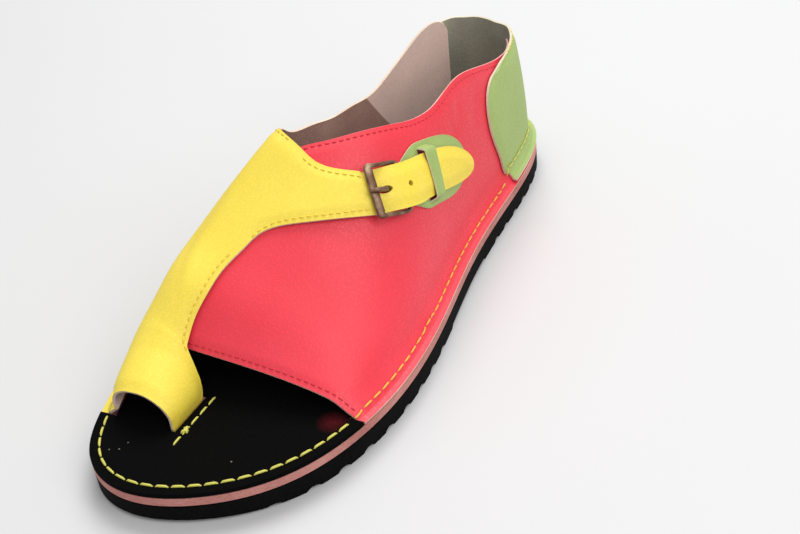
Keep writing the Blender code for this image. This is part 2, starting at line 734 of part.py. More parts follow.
def outsole(collection, finish, cutters):
    """Rubber sole with cross grooves, a thin waist and a little toe spring."""
    obj = slab("outsole", closed_outline(5), 0.0, LUG_DEPTH + OUTSOLE_BASE, collection, finish)
    for i, x in enumerate(grooves(HEEL_GROOVES) + grooves(FOREFOOT_GROOVES)):
        bpy.ops.mesh.primitive_cylinder_add(vertices=10, radius=GROOVE_RADIUS, depth=2 * BALL_WIDTH)
        groove = bpy.context.object
        groove.name = f"groove_{i:02d}"
        groove.rotation_euler = (math.pi / 2, 0.0, 0.0)
        groove.location = ORIGIN + Vector((x, 0.0, LUG_DEPTH - GROOVE_RADIUS))
        as_cutter(groove, cutters)
        cut(obj, groove)
    cut(obj, waist_cutter(cutters))
    cut(obj, toe_cutter(cutters))
    return obj


def waist_cutter(cutters):
    """Block with sloping ends that thins the sole's waist."""
    start = WAIST[0] * SOLE_LENGTH
    end = WAIST[1] * SOLE_LENGTH
    bpy.ops.mesh.primitive_cube_add(size=2.0)
    block = bpy.context.object
    block.name = "waist"
    for vertex in block.data.vertices:
        upper = vertex.co.z > 0
        half = (end - start) / 2 - (WAIST_SLOPE if upper else 0.0)
        vertex.co.x = half if vertex.co.x > 0 else -half
        vertex.co.y *= BALL_WIDTH
        vertex.co.z = LUG_DEPTH if upper else -LUG_DEPTH
    block.location = ORIGIN + Vector(((start + end) / 2, 0.0, 0.0))
    as_cutter(block, cutters)
    return block


def toe_cutter(cutters):
    """Tilted block that lifts the rubber under the tip of the toe."""
    run = TOE_RUN * SOLE_LENGTH
    height = 4 * LUG_DEPTH
    bpy.ops.mesh.primitive_cube_add(size=1.0)
    block = bpy.context.object
    block.name = "toe_spring"
    tilt = math.atan2(TOE_SPRING, run)
    length = 1.4 * run
    for vertex in block.data.vertices:
        vertex.co.x = (vertex.co.x + 0.5) * length
        vertex.co.y *= 2 * BALL_WIDTH
        vertex.co.z = (vertex.co.z - 0.5) * height
    block.rotation_euler = (0.0, -tilt, 0.0)
    block.location = ORIGIN + Vector((SOLE_LENGTH - run, 0.0, 0.0))
    as_cutter(block, cutters)
    return block


def patch_half_width(along):
    """Half width of the buckle patch: round towards the heel, a tab towards the hinge."""
    ahead = along - PATCH_CENTRE
    if ahead >= 0:
        return PATCH_HALF_WIDTH * math.sqrt(max(1 - (ahead / PATCH_ROUND) ** 2.3, 0.04))
    share = smooth((-ahead - TAB_START) / TAB_RUN)
    return PATCH_HALF_WIDTH + (TAB_HALF_WIDTH - PATCH_HALF_WIDTH) * share


def buckle_patch(collection, finish):
    """Patch with two slits. The strip between them is raised over the strap as a keeper."""
    full_half = STRAP_HALF + STRAP_CLEARANCE
    slit_half = full_half + KEEPER_SLOPE
    start = BUCKLE_LENGTH - WIRE_RADIUS / 2
    keeper_end = KEEPER_START + KEEPER_WIDTH
    end = PATCH_CENTRE + PATCH_ROUND
    before = list(np.linspace(start, KEEPER_START, 9))
    between = list(np.linspace(KEEPER_START, keeper_end, 3))
    after = list(np.linspace(keeper_end, end, 8))
    columns = [(along, "before") for along in before]
    columns += [(along, "keeper") for along in between]
    columns += [(along, "after") for along in after]
    inner = [-slit_half] + list(np.linspace(-full_half, full_half, 9)) + [slit_half]
    points = []
    index = {}
    faces = []
    for c, (along, zone) in enumerate(columns):
        half = patch_half_width(along)
        if half > slit_half * 1.05:
            breadths = [-half] + inner + [half]
        else:
            breadths = list(np.linspace(-half, half, len(inner) + 2))
        for r, across in enumerate(breadths):
            joined = r <= 1 or r >= len(breadths) - 2
            key = (round(along, 6), r) if joined else (round(along, 6), r, zone)
            if key not in index:
                lift = LAP
                if zone == "keeper" and not joined:
                    rise = min((slit_half - abs(across)) / (slit_half - full_half), 1.0)
                    lift += (KEEPER_LIFT - LAP) * rise
                index[key] = len(points)
                points.append(strap_point(along + BUCKLE_SKEW * across, across, lift))
            columns[c] += (index[key],)
    for left, right in zip(columns, columns[1:]):
        if left[1] != right[1]:
            continue
        for r in range(2, len(left) - 1):
            faces.append((left[r], right[r], right[r + 1], left[r + 1]))
    obj = mesh_object("buckle_patch", points, faces, collection, finish)
    leather(obj, PATCH_LEATHER)
    return obj


def wire(name, points, radius, closed, collection, finish):
    """Bent wire as a bevelled curve."""
    curve = bpy.data.curves.new(name, "CURVE")
    curve.dimensions = "3D"
    curve.bevel_depth = radius
    curve.bevel_resolution = 2
    curve.use_fill_caps = not closed
    run = curve.splines.new("POLY")
    run.points.add(len(points) - 1)
    for spot, point in zip(run.points, points):
        spot.co = (*point, 1.0)
    run.use_cyclic_u = closed
    curve.materials.append(finish)
    obj = bpy.data.objects.new(name, curve)
    collection.objects.link(obj)
    obj.location = ORIGIN
    return obj


def buckle_frame(collection, finish):
    """Rectangular frame: its bar lies over the strap and its hinge side under it."""
    half = STRAP_HALF + WIRE_RADIUS + STRAP_CLEARANCE
    corner = BUCKLE_CORNER
    corner_steps = 3
    loop = []
    centres = ((BUCKLE_LENGTH - corner, half - corner, 0.0), (corner, half - corner, 0.5),
               (corner, corner - half, 1.0), (BUCKLE_LENGTH - corner, corner - half, 1.5))
    for along, across, turn in centres:
        for k in range(corner_steps + 1):
            angle = (turn + 0.5 * k / corner_steps) * math.pi
            loop.append((along + corner * math.cos(angle), across + corner * math.sin(angle)))
    points = []
    for i, (along, across) in enumerate(loop):
        after = loop[(i + 1) % len(loop)]
        steps = 4 if math.dist((along, across), after) > 2 * corner else 1
        for k in range(steps):
            here = along + (after[0] - along) * k / steps
            beside = across + (after[1] - across) * k / steps
            share = smooth(here / BUCKLE_LENGTH)
            lift = BAR_LIFT + (HINGE_LIFT - BAR_LIFT) * share
            points.append(strap_point(here + BUCKLE_SKEW * beside, beside, lift))
    return wire("buckle_frame", points, WIRE_RADIUS, True, collection, finish)


def buckle_prong(collection, finish):
    """Prong from the hinge, up through the strap's hole and onto the bar."""
    over_bar = BAR_LIFT + WIRE_RADIUS + SEAT_GAP + PRONG_RADIUS
    low = LAP + PRONG_RADIUS + SEAT_GAP
    start = BUCKLE_LENGTH - WIRE_RADIUS - SEAT_GAP
    slope = 0.3 * HOLE_LENGTH
    climb = over_bar - low
    rows = ((start, HINGE_LIFT - PRONG_DROP), (start - HINGE_FLAT, low),
            (HOLE_ALONG + slope, low + 0.2 * climb), (HOLE_ALONG, low + 0.7 * climb),
            (HOLE_ALONG - slope, over_bar - PRONG_DROP), (0.0, over_bar),
            (-PRONG_TIP, over_bar - PRONG_DROP))
    points = [strap_point(along, 0.0, lift) for along, lift in rows]
    return wire("buckle_prong", points, PRONG_RADIUS, False, collection, finish)


def middle_breadth():
    outline = closed_outline(5)
    return float(outline[:, 1].max() + outline[:, 1].min()) / 2


ORIGIN = Vector((-SOLE_LENGTH / 2, -middle_breadth(), 0.0))


def main():
    clear_scene()
    parts = new_collection("toe_loop_sandal")
    cutters = new_collection("cutters")
    red = material("red_leather", (0.78, 0.06, 0.08), 0.5)
    yellow = material("yellow_leather", (0.86, 0.66, 0.09), 0.5)
    green = material("green_leather", (0.40, 0.50, 0.18), 0.55)
    black_leather = material("black_leather", (0.01, 0.01, 0.01), 0.6)
    tan = material("raw_tan_leather", (0.55, 0.22, 0.17), 0.7)
    rubber = material("black_rubber", (0.015, 0.015, 0.015), 0.7)
    brass = material("dark_brass", (0.30, 0.22, 0.13), 0.4, 1.0)
    outsole(parts, rubber, cutters)
    midsole_bottom = SOLE_TOP - MIDSOLE_THICKNESS
    slab("midsole", closed_outline(5), midsole_bottom, MIDSOLE_THICKNESS, parts, tan)
    insole(parts, black_leather, cutters)
    outer_quarter(parts, red)
    inner_piece(parts, yellow, cutters)
    heel_counter(parts, green)
    buckle_patch(parts, green)
    buckle_frame(parts, brass)
    buckle_prong(parts, brass)


main()
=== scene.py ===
"""Looks of a closed-heel toe-loop sandal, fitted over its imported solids.

Metres, +Z up. The sandal points along +X and its outer side is +Y. As in the solids, the
shapes are worked out with the back of the heel at x = 0 and moved by ORIGIN.
"""
import math

import bpy
import numpy as np
from mathutils import Matrix, Vector


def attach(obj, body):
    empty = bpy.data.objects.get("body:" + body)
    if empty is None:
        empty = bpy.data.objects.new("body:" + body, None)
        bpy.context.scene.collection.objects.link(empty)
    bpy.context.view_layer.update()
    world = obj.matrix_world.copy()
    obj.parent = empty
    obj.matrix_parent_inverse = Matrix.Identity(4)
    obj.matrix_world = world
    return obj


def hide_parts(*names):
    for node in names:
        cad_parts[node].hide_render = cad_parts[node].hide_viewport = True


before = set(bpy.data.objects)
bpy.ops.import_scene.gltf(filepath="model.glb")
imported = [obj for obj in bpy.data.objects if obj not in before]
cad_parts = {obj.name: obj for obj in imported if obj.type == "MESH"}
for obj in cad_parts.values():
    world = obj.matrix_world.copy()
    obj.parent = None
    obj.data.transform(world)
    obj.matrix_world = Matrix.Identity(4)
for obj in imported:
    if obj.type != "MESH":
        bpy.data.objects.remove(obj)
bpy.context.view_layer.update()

# Camera, from the photograph's perspective
CAMERA_AIM = (-0.009959, 0.011577, 0.004455)
CAMERA_DISTANCE = 0.430338
CAMERA_AZIMUTH = 29.213
CAMERA_ELEVATION = 33.582
CAMERA_ROLL = 6.868
CAMERA_LENS = 51.96

# Studio, metres
FLOOR_HALF = 4.0
LIGHT_AIM = (0.0, 0.0, 0.02)

# Sizes, most of them shared with the solids: metres, but shares of SOLE_LENGTH for the sole's
# spans and TOE_RUN, and plain numbers for FEATHER_FROM and FEATHER_OVER, STRAP_NOSE, ROD_POWER,
# BUCKLE_SKEW, PATCH_POWER, PATCH_END and PATCH_WALL
SOLE_LENGTH = 0.256
BALL_WIDTH = 0.0916
INSTEP_HEIGHT = 0.061
LUG_DEPTH = 0.0012
OUTSOLE_BASE = 0.0054
MIDSOLE_THICKNESS = 0.0030
INSOLE_THICKNESS = 0.0015
LEATHER = 0.0016
PATCH_LEATHER = 0.0013
SEAT_GAP = 0.0003
FLANGE_REACH = 0.0070
FILLET_RADIUS = 0.0046
FEATHER_EASE = 0.0050
FEATHER_FROM = 0.35
FEATHER_OVER = 0.45
LUG_PITCH = 0.0105
GROOVE_RADIUS = 0.0030
TOE_SPRING = 0.0016
STRAP_WIDTH = 0.0146
STRAP_NOSE = 3.6
WIRE_RADIUS = 0.0009
PRONG_RADIUS = 0.0008
BUCKLE_LENGTH = 0.0112
FRAME_SPARE = 0.00105
FRAME_CORNER = 0.0012
BAR_FLAT = 0.0016
FRAME_WIDE = 0.00070
FRAME_TALL = 0.00080
BAR_WIDER = 0.00085
BAR_LOWER = 0.0001
ROD_POWER = 0.8
STRAP_CLEARANCE = 0.0004
BUCKLE_SKEW = 0.08
HINGE_FLAT = 0.002
HINGE_FALL = 0.009
PRONG_TIP = 0.0022
PRONG_DROP = 0.0005
TOE_SLIT_WIDTH = 0.0026
SLIT_SPARE = 0.0016
KEEPER_WIDTH = 0.0058
HOLE_RADIUS = 0.0012
HOLE_LENGTH = 0.0050
HOLE_ALONG = 0.0037
HOLE_PITCH = 0.0084
PATCH_CENTRE = 0.0369
PATCH_ROUND = 0.0210
PATCH_HALF_WIDTH = 0.0113
PATCH_POWER = 2.3
PATCH_END = 0.04
PATCH_WALL = 0.8
KEEPER_START = 0.0252
KEEPER_SLOPE = 0.0016
TAB_HALF_WIDTH = 0.0065
TAB_START = 0.0110
TAB_RUN = 0.0150
INSOLE_CLEARANCE = 0.0006
# Where the heel piece starts and ends its climb over each quarter, forward of the heel's back
COUNTER_CLIMB = {1: (0.009, 0.0185), -1: (0.005, 0.0135)}
HEEL_GROOVES = (0.040, 0.340)
FOREFOOT_GROOVES = (0.600, 0.935)
WAIST = (0.375, 0.560)
WAIST_SLOPE = 0.003
TOE_RUN = 0.115

# Shape tables, close to the solids': shares of SOLE_LENGTH and BALL_WIDTH, and rib places,
# where 0 is the top of a rib, 1 and -1 the foot of its wall and 3 and -3 the flange's rim
OUTLINE = (
    (0.0, 0.0), (0.0215, 0.186), (0.0762, 0.306), (0.1758, 0.366), (0.3125, 0.38), (0.4492, 0.406),
    (0.5859, 0.459), (0.7031, 0.48), (0.8008, 0.448), (0.8906, 0.353), (0.9609, 0.171),
    (1.0, -0.12), (0.9727, -0.338), (0.8984, -0.456), (0.8027, -0.516), (0.7031, -0.498),
    (0.5859, -0.412), (0.4492, -0.328), (0.3125, -0.319), (0.1758, -0.338), (0.077, -0.284),
    (0.0215, -0.172),
)
SECTIONS = (
    (0.156, 1.57, 0.022, 1.75, 1.75), (0.313, 1.48, 0.0, 1.75, 1.8),
    (0.449, 1.25, -0.044, 1.75, 1.9), (0.559, 1.005, -0.105, 1.75, 2.3),
    (0.617, 0.835, -0.185, 1.72, 2.7), (0.684, 0.65, -0.25, 1.65, 3.0),
    (0.723, 0.56, -0.28, 1.55, 3.1), (0.762, 0.46, -0.294, 1.45, 3.1),
    (0.809, 0.26, -0.29, 1.3, 3.1), (0.918, 0.1, -0.284, 1.3, 3.1),
)
FAN_STATION = 0.156
FAN_REACH = 0.184
QUARTER_ROWS = (
    (0.05, 0.05, 0.59), (0.11, 0.11, 0.58), (0.175, 0.175, 0.557), (0.245, 0.245, 0.505),
    (0.306, 0.306, 0.455), (0.339, 0.339, 0.445), (0.372, 0.372, 0.442), (0.403, 0.403, 0.432),
    (0.44, 0.44, 0.395), (0.469, 0.469, 0.348), (0.525, 0.525, 0.232), (0.562, 0.562, 0.129),
    (0.585, 0.59, 0.05), (0.64, 0.645, 0.045), (0.7, 0.705, 0.05), (0.76, 0.765, 0.035),
    (0.79, 0.793, 0.038), (0.806, 0.8105, 0.052),
)
INNER_REAR_ROWS = (
    (0.03, 0.03, -0.6), (0.037, 0.037, -0.566), (0.05, 0.05, -0.547), (0.075, 0.075, -0.548),
    (0.125, 0.125, -0.585), (0.193, 0.193, -0.632), (0.27, 0.27, -0.635), (0.344, 0.344, -0.565),
    (0.406, 0.406, -0.494), (0.455, 0.46, -0.4), (0.494, 0.504, -0.32), (0.52, 0.535, -0.2),
    (0.542, 0.56, -0.07), (0.56, 0.578, 0.1),
)
INNER_ROOT_ROWS = (
    (0.56, 0.578, 0.1), (0.585, 0.609, 0.12), (0.615, 0.641, 0.14), (0.645, 0.672, 0.156),
    (0.672, 0.701, 0.17),
)
INNER_FRONT_ROWS = (
    (0.672, 0.701, 0.17), (0.696, 0.722, 0.154), (0.72, 0.742, 0.146), (0.744, 0.762, 0.137),
    (0.77, 0.785, 0.114), (0.798, 0.811, 0.11),
)
LOOP_ROWS = (
    (0.81, 0.8155, 0.65), (0.819, 0.8205, 0.71), (0.827, 0.825, 0.79), (0.8345, 0.828, 0.87),
    (0.842, 0.83, 0.94), (0.849, 0.8345, 1.0), (0.858, 0.846, 1.0), (0.869, 0.862, 1.0),
    (0.882, 0.879, 1.0), (0.896, 0.896, 1.0),
)
STRAP_ROWS = (
    ((0.583, 0.17), (0.68, 0.187), 0.0), ((0.582, 0.235), (0.662, 0.245), 0.2),
    ((0.574, 0.3), (0.641, 0.35), 0.5), ((0.566, 0.345), (0.618, 0.44), 0.75),
)
COUNTER_OUTER = (
    (0.257, 3.0), (0.256, 1.9), (0.2565, 1.15), (0.276, 0.9), (0.294, 0.75), (0.288, 0.64),
    (0.204, 0.562),
)
COUNTER_INNER = (
    (0.245, 3.0), (0.252, 1.9), (0.262, 1.15), (0.27, 0.92), (0.27, 0.83), (0.262, 0.76),
    (0.215, 0.68),
)
COUNTER_TOP_CENTRE = 0.548
COUNTER_TOP_POWER = 1.5
STRAP_LINE = ((0.5765, 0.440), (0.5450, 0.497), (0.5040, 0.550), (0.4300, 0.646), (0.3570, 0.764))
ARCH_FRONT_HEIGHT = 0.205
ARCH_RISE = 1.80
ARCH_INNER_FULLNESS = 2.7
ARCH_OUTER_FULLNESS = 1.75
SLIT_BREADTH = -0.163
LOOP_FRONT = 0.896
LOOP_REAR = 0.829
VAMP_FRONT = 0.806
LAP_START = -0.16
LAP_RUN = 0.14
ARCH_COVER = 0.65

# Sewing and cut edges: metres, but stations as shares of SOLE_LENGTH, EDGE_SHARE of the wall, and
# for each thread of the knot its turn in radians and its shift
WELT_PITCH = 0.00487
WELT_STITCH = 0.0043
WELT_RADIUS = 0.00042
WELT_INSET = 0.0031
FINE_PITCH = 0.0024
FINE_STITCH = 0.0017
FINE_RADIUS = 0.00024
EDGE_INSET = 0.0019
PINHOLE_RADIUS = 0.00016
SLIT_SEAM = (0.822, 0.925)
SLIT_SEAM_ASIDE = 0.0050
KNOT_STATION = 0.893
KNOT_LIFT = 0.0003
KNOT_THREADS = ((0.9, 0.0), (-0.7, 0.0006), (0.15, -0.0004))
SURFACE_NEAR = 0.0012
SURFACE_HIGH = 0.009
INSOLE_TUCK = 0.0014
SKIVE = 0.0045
EDGE_SHARE = 0.55
EDGE_ROUND = 0.00028
RUBBER_ROUND = 0.00035
MIDSOLE_ROUND = 0.0003
FOOTBED_ROUND = 0.00045

SOLE_TOP = LUG_DEPTH + OUTSOLE_BASE + SEAT_GAP + MIDSOLE_THICKNESS
UPPER_BASE = SOLE_TOP + SEAT_GAP
FOOTBED_TOP = UPPER_BASE + INSOLE_THICKNESS
LAP = LEATHER + SEAT_GAP
STRAP_OVER_PATCH = LAP + PATCH_LEATHER + SEAT_GAP
HINGE_LIFT = STRAP_OVER_PATCH + WIRE_RADIUS
STRAP_OVER_HINGE = HINGE_LIFT + WIRE_RADIUS + SEAT_GAP
KEEPER_LIFT = STRAP_OVER_PATCH + LEATHER + SEAT_GAP
BAR_LIFT = KEEPER_LIFT + WIRE_RADIUS
STRAP_HALF = STRAP_WIDTH / 2
FAN_X = FAN_STATION * SOLE_LENGTH
HEEL_X = FAN_X - FAN_REACH * SOLE_LENGTH


def spline(knots, rows):
    """Natural cubic spline through rows of values, read at one knot value or many."""
    knots = np.asarray(knots, float)
    rows = np.asarray(rows, float)
    count = len(knots)
    gaps = np.diff(knots)
    matrix = np.eye(count)
    right = np.zeros(rows.shape)
    for i in range(1, count - 1):
        matrix[i, i - 1] = gaps[i - 1]
        matrix[i, i] = 2 * (gaps[i - 1] + gaps[i])
        matrix[i, i + 1] = gaps[i]
        right[i] = 3 * ((rows[i + 1] - rows[i]) / gaps[i] - (rows[i] - rows[i - 1]) / gaps[i - 1])
    bend = np.linalg.solve(matrix, right)

    def value(at):
        at = np.asarray(at, float)
        i = np.clip(np.searchsorted(knots, at) - 1, 0, count - 2)
        step = (at - knots[i])[..., None]
        gap = gaps[i][..., None]
        slope = (rows[i + 1] - rows[i]) / gap - gap * (2 * bend[i] + bend[i + 1]) / 3
        cubic = (bend[i + 1] - bend[i]) / (3 * gap)
        return rows[i] + slope * step + bend[i] * step**2 + cubic * step**3

    return value


def chord_knots(rows):
    """Knots from 0 to 1 by the roots of the distances between rows."""
    chords = np.sqrt(np.linalg.norm(np.diff(rows, axis=0), axis=1) + 1e-9)
    return np.concatenate([[0.0], np.cumsum(chords)]) / np.sum(chords)


def chord_spline(rows):
    rows = np.asarray(rows, float)
    return spline(chord_knots(rows), rows)


def row_values(table, count):
    return chord_spline(table)(np.linspace(0, 1, count))


def smooth(share):
    share = np.clip(share, 0.0, 1.0)
    return share * share * (3 - 2 * share)


def unit(vectors):
    return vectors / np.maximum(np.linalg.norm(vectors, axis=-1, keepdims=True), 1e-12)


def lengths(run):
    """Distance from the start of a run of points at each of them."""
    return np.concatenate([[0.0], np.cumsum(np.linalg.norm(np.diff(run, axis=0), axis=1))])


def spread(points, start):
    """Places from start to start + 1 along a run of points, by length."""
    steps = lengths(points)
    return start + steps / steps[-1]


def read_run(at, steps, rows):
    """Rows of three values read at distances along their run."""
    return np.stack([np.interp(at, steps, rows[:, k]) for k in range(3)], axis=-1)


def closed_outline(points_between):
    """Sole outline as an array of (x, y), going round from the back of the heel."""
    rows = [(station * SOLE_LENGTH, breadth * BALL_WIDTH) for station, breadth in OUTLINE]
    around = rows[-3:] + rows + rows[:4]
    knots = [0.0]
    for here, there in zip(around, around[1:]):
        knots.append(knots[-1] + math.dist(here, there) ** 0.5)
    curve = spline(knots, around)
    spots = []
    for i in range(3, 3 + len(rows)):
        step = knots[i + 1] - knots[i]
        spots += [knots[i] + step * k / points_between for k in range(points_between)]
    return curve(np.array(spots))


SOLE = closed_outline(40)
BREADTHS = closed_outline(5)[:, 1]
ORIGIN = np.array([-SOLE_LENGTH / 2, -(BREADTHS.max() + BREADTHS.min()) / 2, 0.0])


class Foot:
    """The foot's form over the sole as a fine grid, read by station and rib place."""

    STEP = 0.0005
    END = 0.93
    PLACES = np.linspace(-3, 3, 601)

    def __init__(self):
        back = int(np.argmin(SOLE[:, 0]))
        turned = np.roll(SOLE, -back, axis=0)
        tip = int(np.argmax(turned[:, 0]))
        self.edges = {1: turned[:tip + 1], -1: turned[tip:][::-1]}
        self.section = spline([row[0] for row in SECTIONS], [row[1:] for row in SECTIONS])
        count = int((self.END * SOLE_LENGTH - HEEL_X) / self.STEP) + 1
        self.stations = HEEL_X + self.STEP * np.arange(count)
        middle = len(self.PLACES) // 2
        self.grid = np.zeros((count, len(self.PLACES), 3))
        for i, x in enumerate(self.stations):
            for side, part in ((-1, slice(0, middle)), (1, slice(middle, None))):
                axis, way, places, points = self.rib(side, x)
                away, height = (np.interp(abs(self.PLACES[part]), places, points[:, k]) for k in (0, 1))
                self.grid[i, part, :2] = axis + way * away[:, None]
                self.grid[i, part, 2] = UPPER_BASE + height

    def edge_along(self, axis, way):
        """Distance from an axis point to the sole's edge in a direction."""
        across = (SOLE - axis) @ np.array([-way[1], way[0]])
        along = (SOLE - axis) @ way
        after = np.roll(across, -1)
        i = int(np.argmax((across * after <= 0) & (along > 0) & (abs(across - after) > 1e-12)))
        share = across[i] / (across[i] - after[i])
        return along[i] + (np.roll(along, -1)[i] - along[i]) * share

    def stance(self, side, x):
        """Axis point, outward direction, distance to the edge, height and fullness of a rib."""
        ahead = x >= FAN_X
        height, breadth, outer, inner = self.section(x / SOLE_LENGTH if ahead else FAN_STATION)
        axis = np.array([max(x, FAN_X), breadth * BALL_WIDTH])
        own = outer if side > 0 else inner
        if ahead:
            reach = side * (np.interp(x, *self.edges[side].T) - axis[1])
            return axis, np.array([0.0, side]), reach, height, own
        turn = (FAN_X - x) / (FAN_X - HEEL_X) * math.pi / 2
        way = np.array([-math.sin(turn), side * math.cos(turn)])
        fullness = own + ((outer + inner) / 2 - own) * turn / (math.pi / 2)
        return axis, way, self.edge_along(axis, way), height, fullness

    def rib(self, side, x):
        """Axis point and direction of a rib, its places and their distance out and height."""
        axis, way, reach, height, fullness = self.stance(side, x)
        wall = reach - FLANGE_REACH
        rise = height * INSTEP_HEIGHT - FILLET_RADIUS
        angle = np.linspace(math.pi / 2, 0, 181)
        dome = np.stack([wall * np.cos(angle).clip(0) ** (2 / fullness),
                         FILLET_RADIUS + rise * np.sin(angle) ** (2 / fullness)], axis=1)
        sweep = np.linspace(0, math.pi / 2, 13)
        fillet = np.stack([wall + FILLET_RADIUS * (1 - np.cos(sweep)),
                           FILLET_RADIUS * (1 - np.sin(sweep))], axis=1)
        rim = np.array([[wall + FILLET_RADIUS, 0.0], [reach, 0.0]])
        places = np.concatenate([spread(dome, 0), spread(fillet, 1)[1:], spread(rim, 2)[1:]])
        points = np.concatenate([dome, fillet[1:], rim[1:]])
        length = lengths(points)
        window = np.minimum(FEATHER_EASE, length[-1] - length)
        window = window * smooth((places - FEATHER_FROM) / FEATHER_OVER)
        eased = np.zeros(points.shape)
        for shift in np.linspace(-1, 1, 9):
            for k in (0, 1):
                eased[:, k] += np.interp(length + shift * window, length, points[:, k]) / 9
        return axis, way, places, eased

    def bare(self, x, place):
        """Points of the form itself, read from the grid."""
        x, place = np.broadcast_arrays(np.asarray(x, float), np.asarray(place, float))
        i = np.clip((x - HEEL_X) / self.STEP, 0, len(self.stations) - 1.001)
        j = np.clip((place + 3) * 100, 0, len(self.PLACES) - 1.001)
        i0, j0 = i.astype(int), j.astype(int)
        s, t = (i - i0)[..., None], (j - j0)[..., None]
        low = self.grid[i0, j0] * (1 - s) + self.grid[i0 + 1, j0] * s
        high = self.grid[i0, j0 + 1] * (1 - s) + self.grid[i0 + 1, j0 + 1] * s
        return low * (1 - t) + high * t

    def tangents(self, x, place):
        low = np.maximum(place - 0.01, -3.0)
        high = np.minimum(place + 0.01, 3.0)
        before = np.maximum(x - self.STEP, HEEL_X)
        after = x + self.STEP
        along = (self.bare(after, place) - self.bare(before, place)) / (after - before)[..., None]
        return along, (self.bare(x, high) - self.bare(x, low)) / (high - low)[..., None]

    def normal(self, x, place):
        along, across = self.tangents(*map(np.asarray, (x, place)))
        return unit(np.cross(along, across))

    def point(self, x, place, lift=0.0):
        x, place, lift = np.broadcast_arrays(*map(np.asarray, (x, place, lift)))
        return self.bare(x, place) + self.normal(x, place) * lift[..., None]

    def beside(self, x, place, away):
        """Station and rib place reached by a small step away along the surface."""
        along, across = self.tangents(x, place)
        aa, ab, bb = (along**2).sum(-1), (along * across).sum(-1), (across**2).sum(-1)
        ra, rb = (along * away).sum(-1), (across * away).sum(-1)
        scale = aa * bb - ab * ab
        return x + (ra * bb - rb * ab) / scale, place + (rb * aa - ra * ab) / scale


FOOT = Foot()


class StrapLine:
    """The strap's centre line over the foot, measured from the buckle's bar."""

    STEPS = 60

    def __init__(self):
        self.curve = chord_spline([(10 * station, place) for station, place in STRAP_LINE])
        self.shares = np.linspace(0, 1, self.STEPS + 1)
        self.runs = lengths(FOOT.bare(*self.spot(self.shares)))
        self.length = self.runs[-1]

    def spot(self, share):
        found = self.curve(share)
        return found[..., 0] / 10 * SOLE_LENGTH, found[..., 1]

    def at(self, along):
        along = np.asarray(along, float)
        share = np.where(along > 0, np.interp(along, self.runs, self.shares), along / self.length)
        ahead = FOOT.bare(*self.spot(share + 0.02)) - FOOT.bare(*self.spot(share - 0.02))
        x, place = self.spot(share)
        return x, place, unit(np.cross(FOOT.normal(x, place), ahead))

    def point(self, along, across, lift):
        along, across, lift = np.broadcast_arrays(*map(np.asarray, (along, across, lift)))
        x, place, side = self.at(along)
        return FOOT.point(*FOOT.beside(x, place, side * across[..., None]), lift)


STRAP = StrapLine()


def strap_lift(along):
    """Height of the strap's flesh side past the buckle's bar: down, over the hinge, down."""
    along = np.asarray(along, float)
    up = smooth(along / (BUCKLE_LENGTH - HINGE_FLAT))
    down = smooth((along - BUCKLE_LENGTH - HINGE_FLAT) / HINGE_FALL)
    rise = STRAP_OVER_HINGE - STRAP_OVER_PATCH
    return STRAP_OVER_PATCH + rise * np.where(along <= BUCKLE_LENGTH, up, 1 - down)


class Finish:
    """A material in the making: its shader, the place on the object and short ways to nodes."""

    def __init__(self, name):
        self.material = bpy.data.materials.new(name)
        self.material.use_nodes = True
        self.tree = self.material.node_tree
        self.shader = self.tree.nodes["Principled BSDF"]
        self.place = self.node("ShaderNodeTexCoord").outputs["Object"]

    def fill(self, node, values):
        for key, value in values.items():
            if isinstance(value, bpy.types.NodeSocket):
                self.tree.links.new(value, node.inputs[key])
            else:
                node.inputs[key].default_value = value

    def node(self, kind, values=None, **settings):
        made = self.tree.nodes.new(kind)
        for key, value in settings.items():
            setattr(made, key, value)
        self.fill(made, values or {})
        return made

    def noise(self, scale, detail, roughness=0.5, stretch=None, out="Fac"):
        place = self.place
        if stretch:
            place = self.node("ShaderNodeMapping", {"Vector": place, "Scale": stretch}).outputs[0]
        values = {"Vector": place, "Scale": scale, "Detail": detail, "Roughness": roughness}
        return self.node("ShaderNodeTexNoise", values).outputs[out]

    def maths(self, operation, first, second):
        return self.node("ShaderNodeMath", {0: first, 1: second}, operation=operation).outputs[0]

    def remap(self, value, low=0.0, high=1.0, to_low=0.0, to_high=1.0, **settings):
        values = {"Value": value, "From Min": low, "From Max": high, "To Min": to_low, "To Max": to_high}
        return self.node("ShaderNodeMapRange", values, **settings).outputs[0]

    def between(self, by, low, high):
        """Colour between two, by a 0 to 1 value."""
        ramp = self.node("ShaderNodeValToRGB", {"Fac": by})
        for element, colour in zip(ramp.color_ramp.elements, (low, high)):
            element.color = (*colour, 1)
        return ramp.outputs["Color"]

    def mixed(self, by, first, second, **settings):
        values = {"Fac": by, "Color1": first, "Color2": second}
        return self.node("ShaderNodeMixRGB", values, **settings).outputs[0]

    def shaded(self, colour, roughness, specular, height, strength, depth, metallic=0.0):
        """The finished material, with a bump of that strength and depth in metres."""
        bump = self.node("ShaderNodeBump", {"Height": height, "Strength": strength, "Distance": depth})
        self.fill(self.shader, {"Base Color": colour, "Roughness": roughness, "Metallic": metallic,
                                "Specular IOR Level": specular, "Normal": bump.outputs[0]})
        return self.material


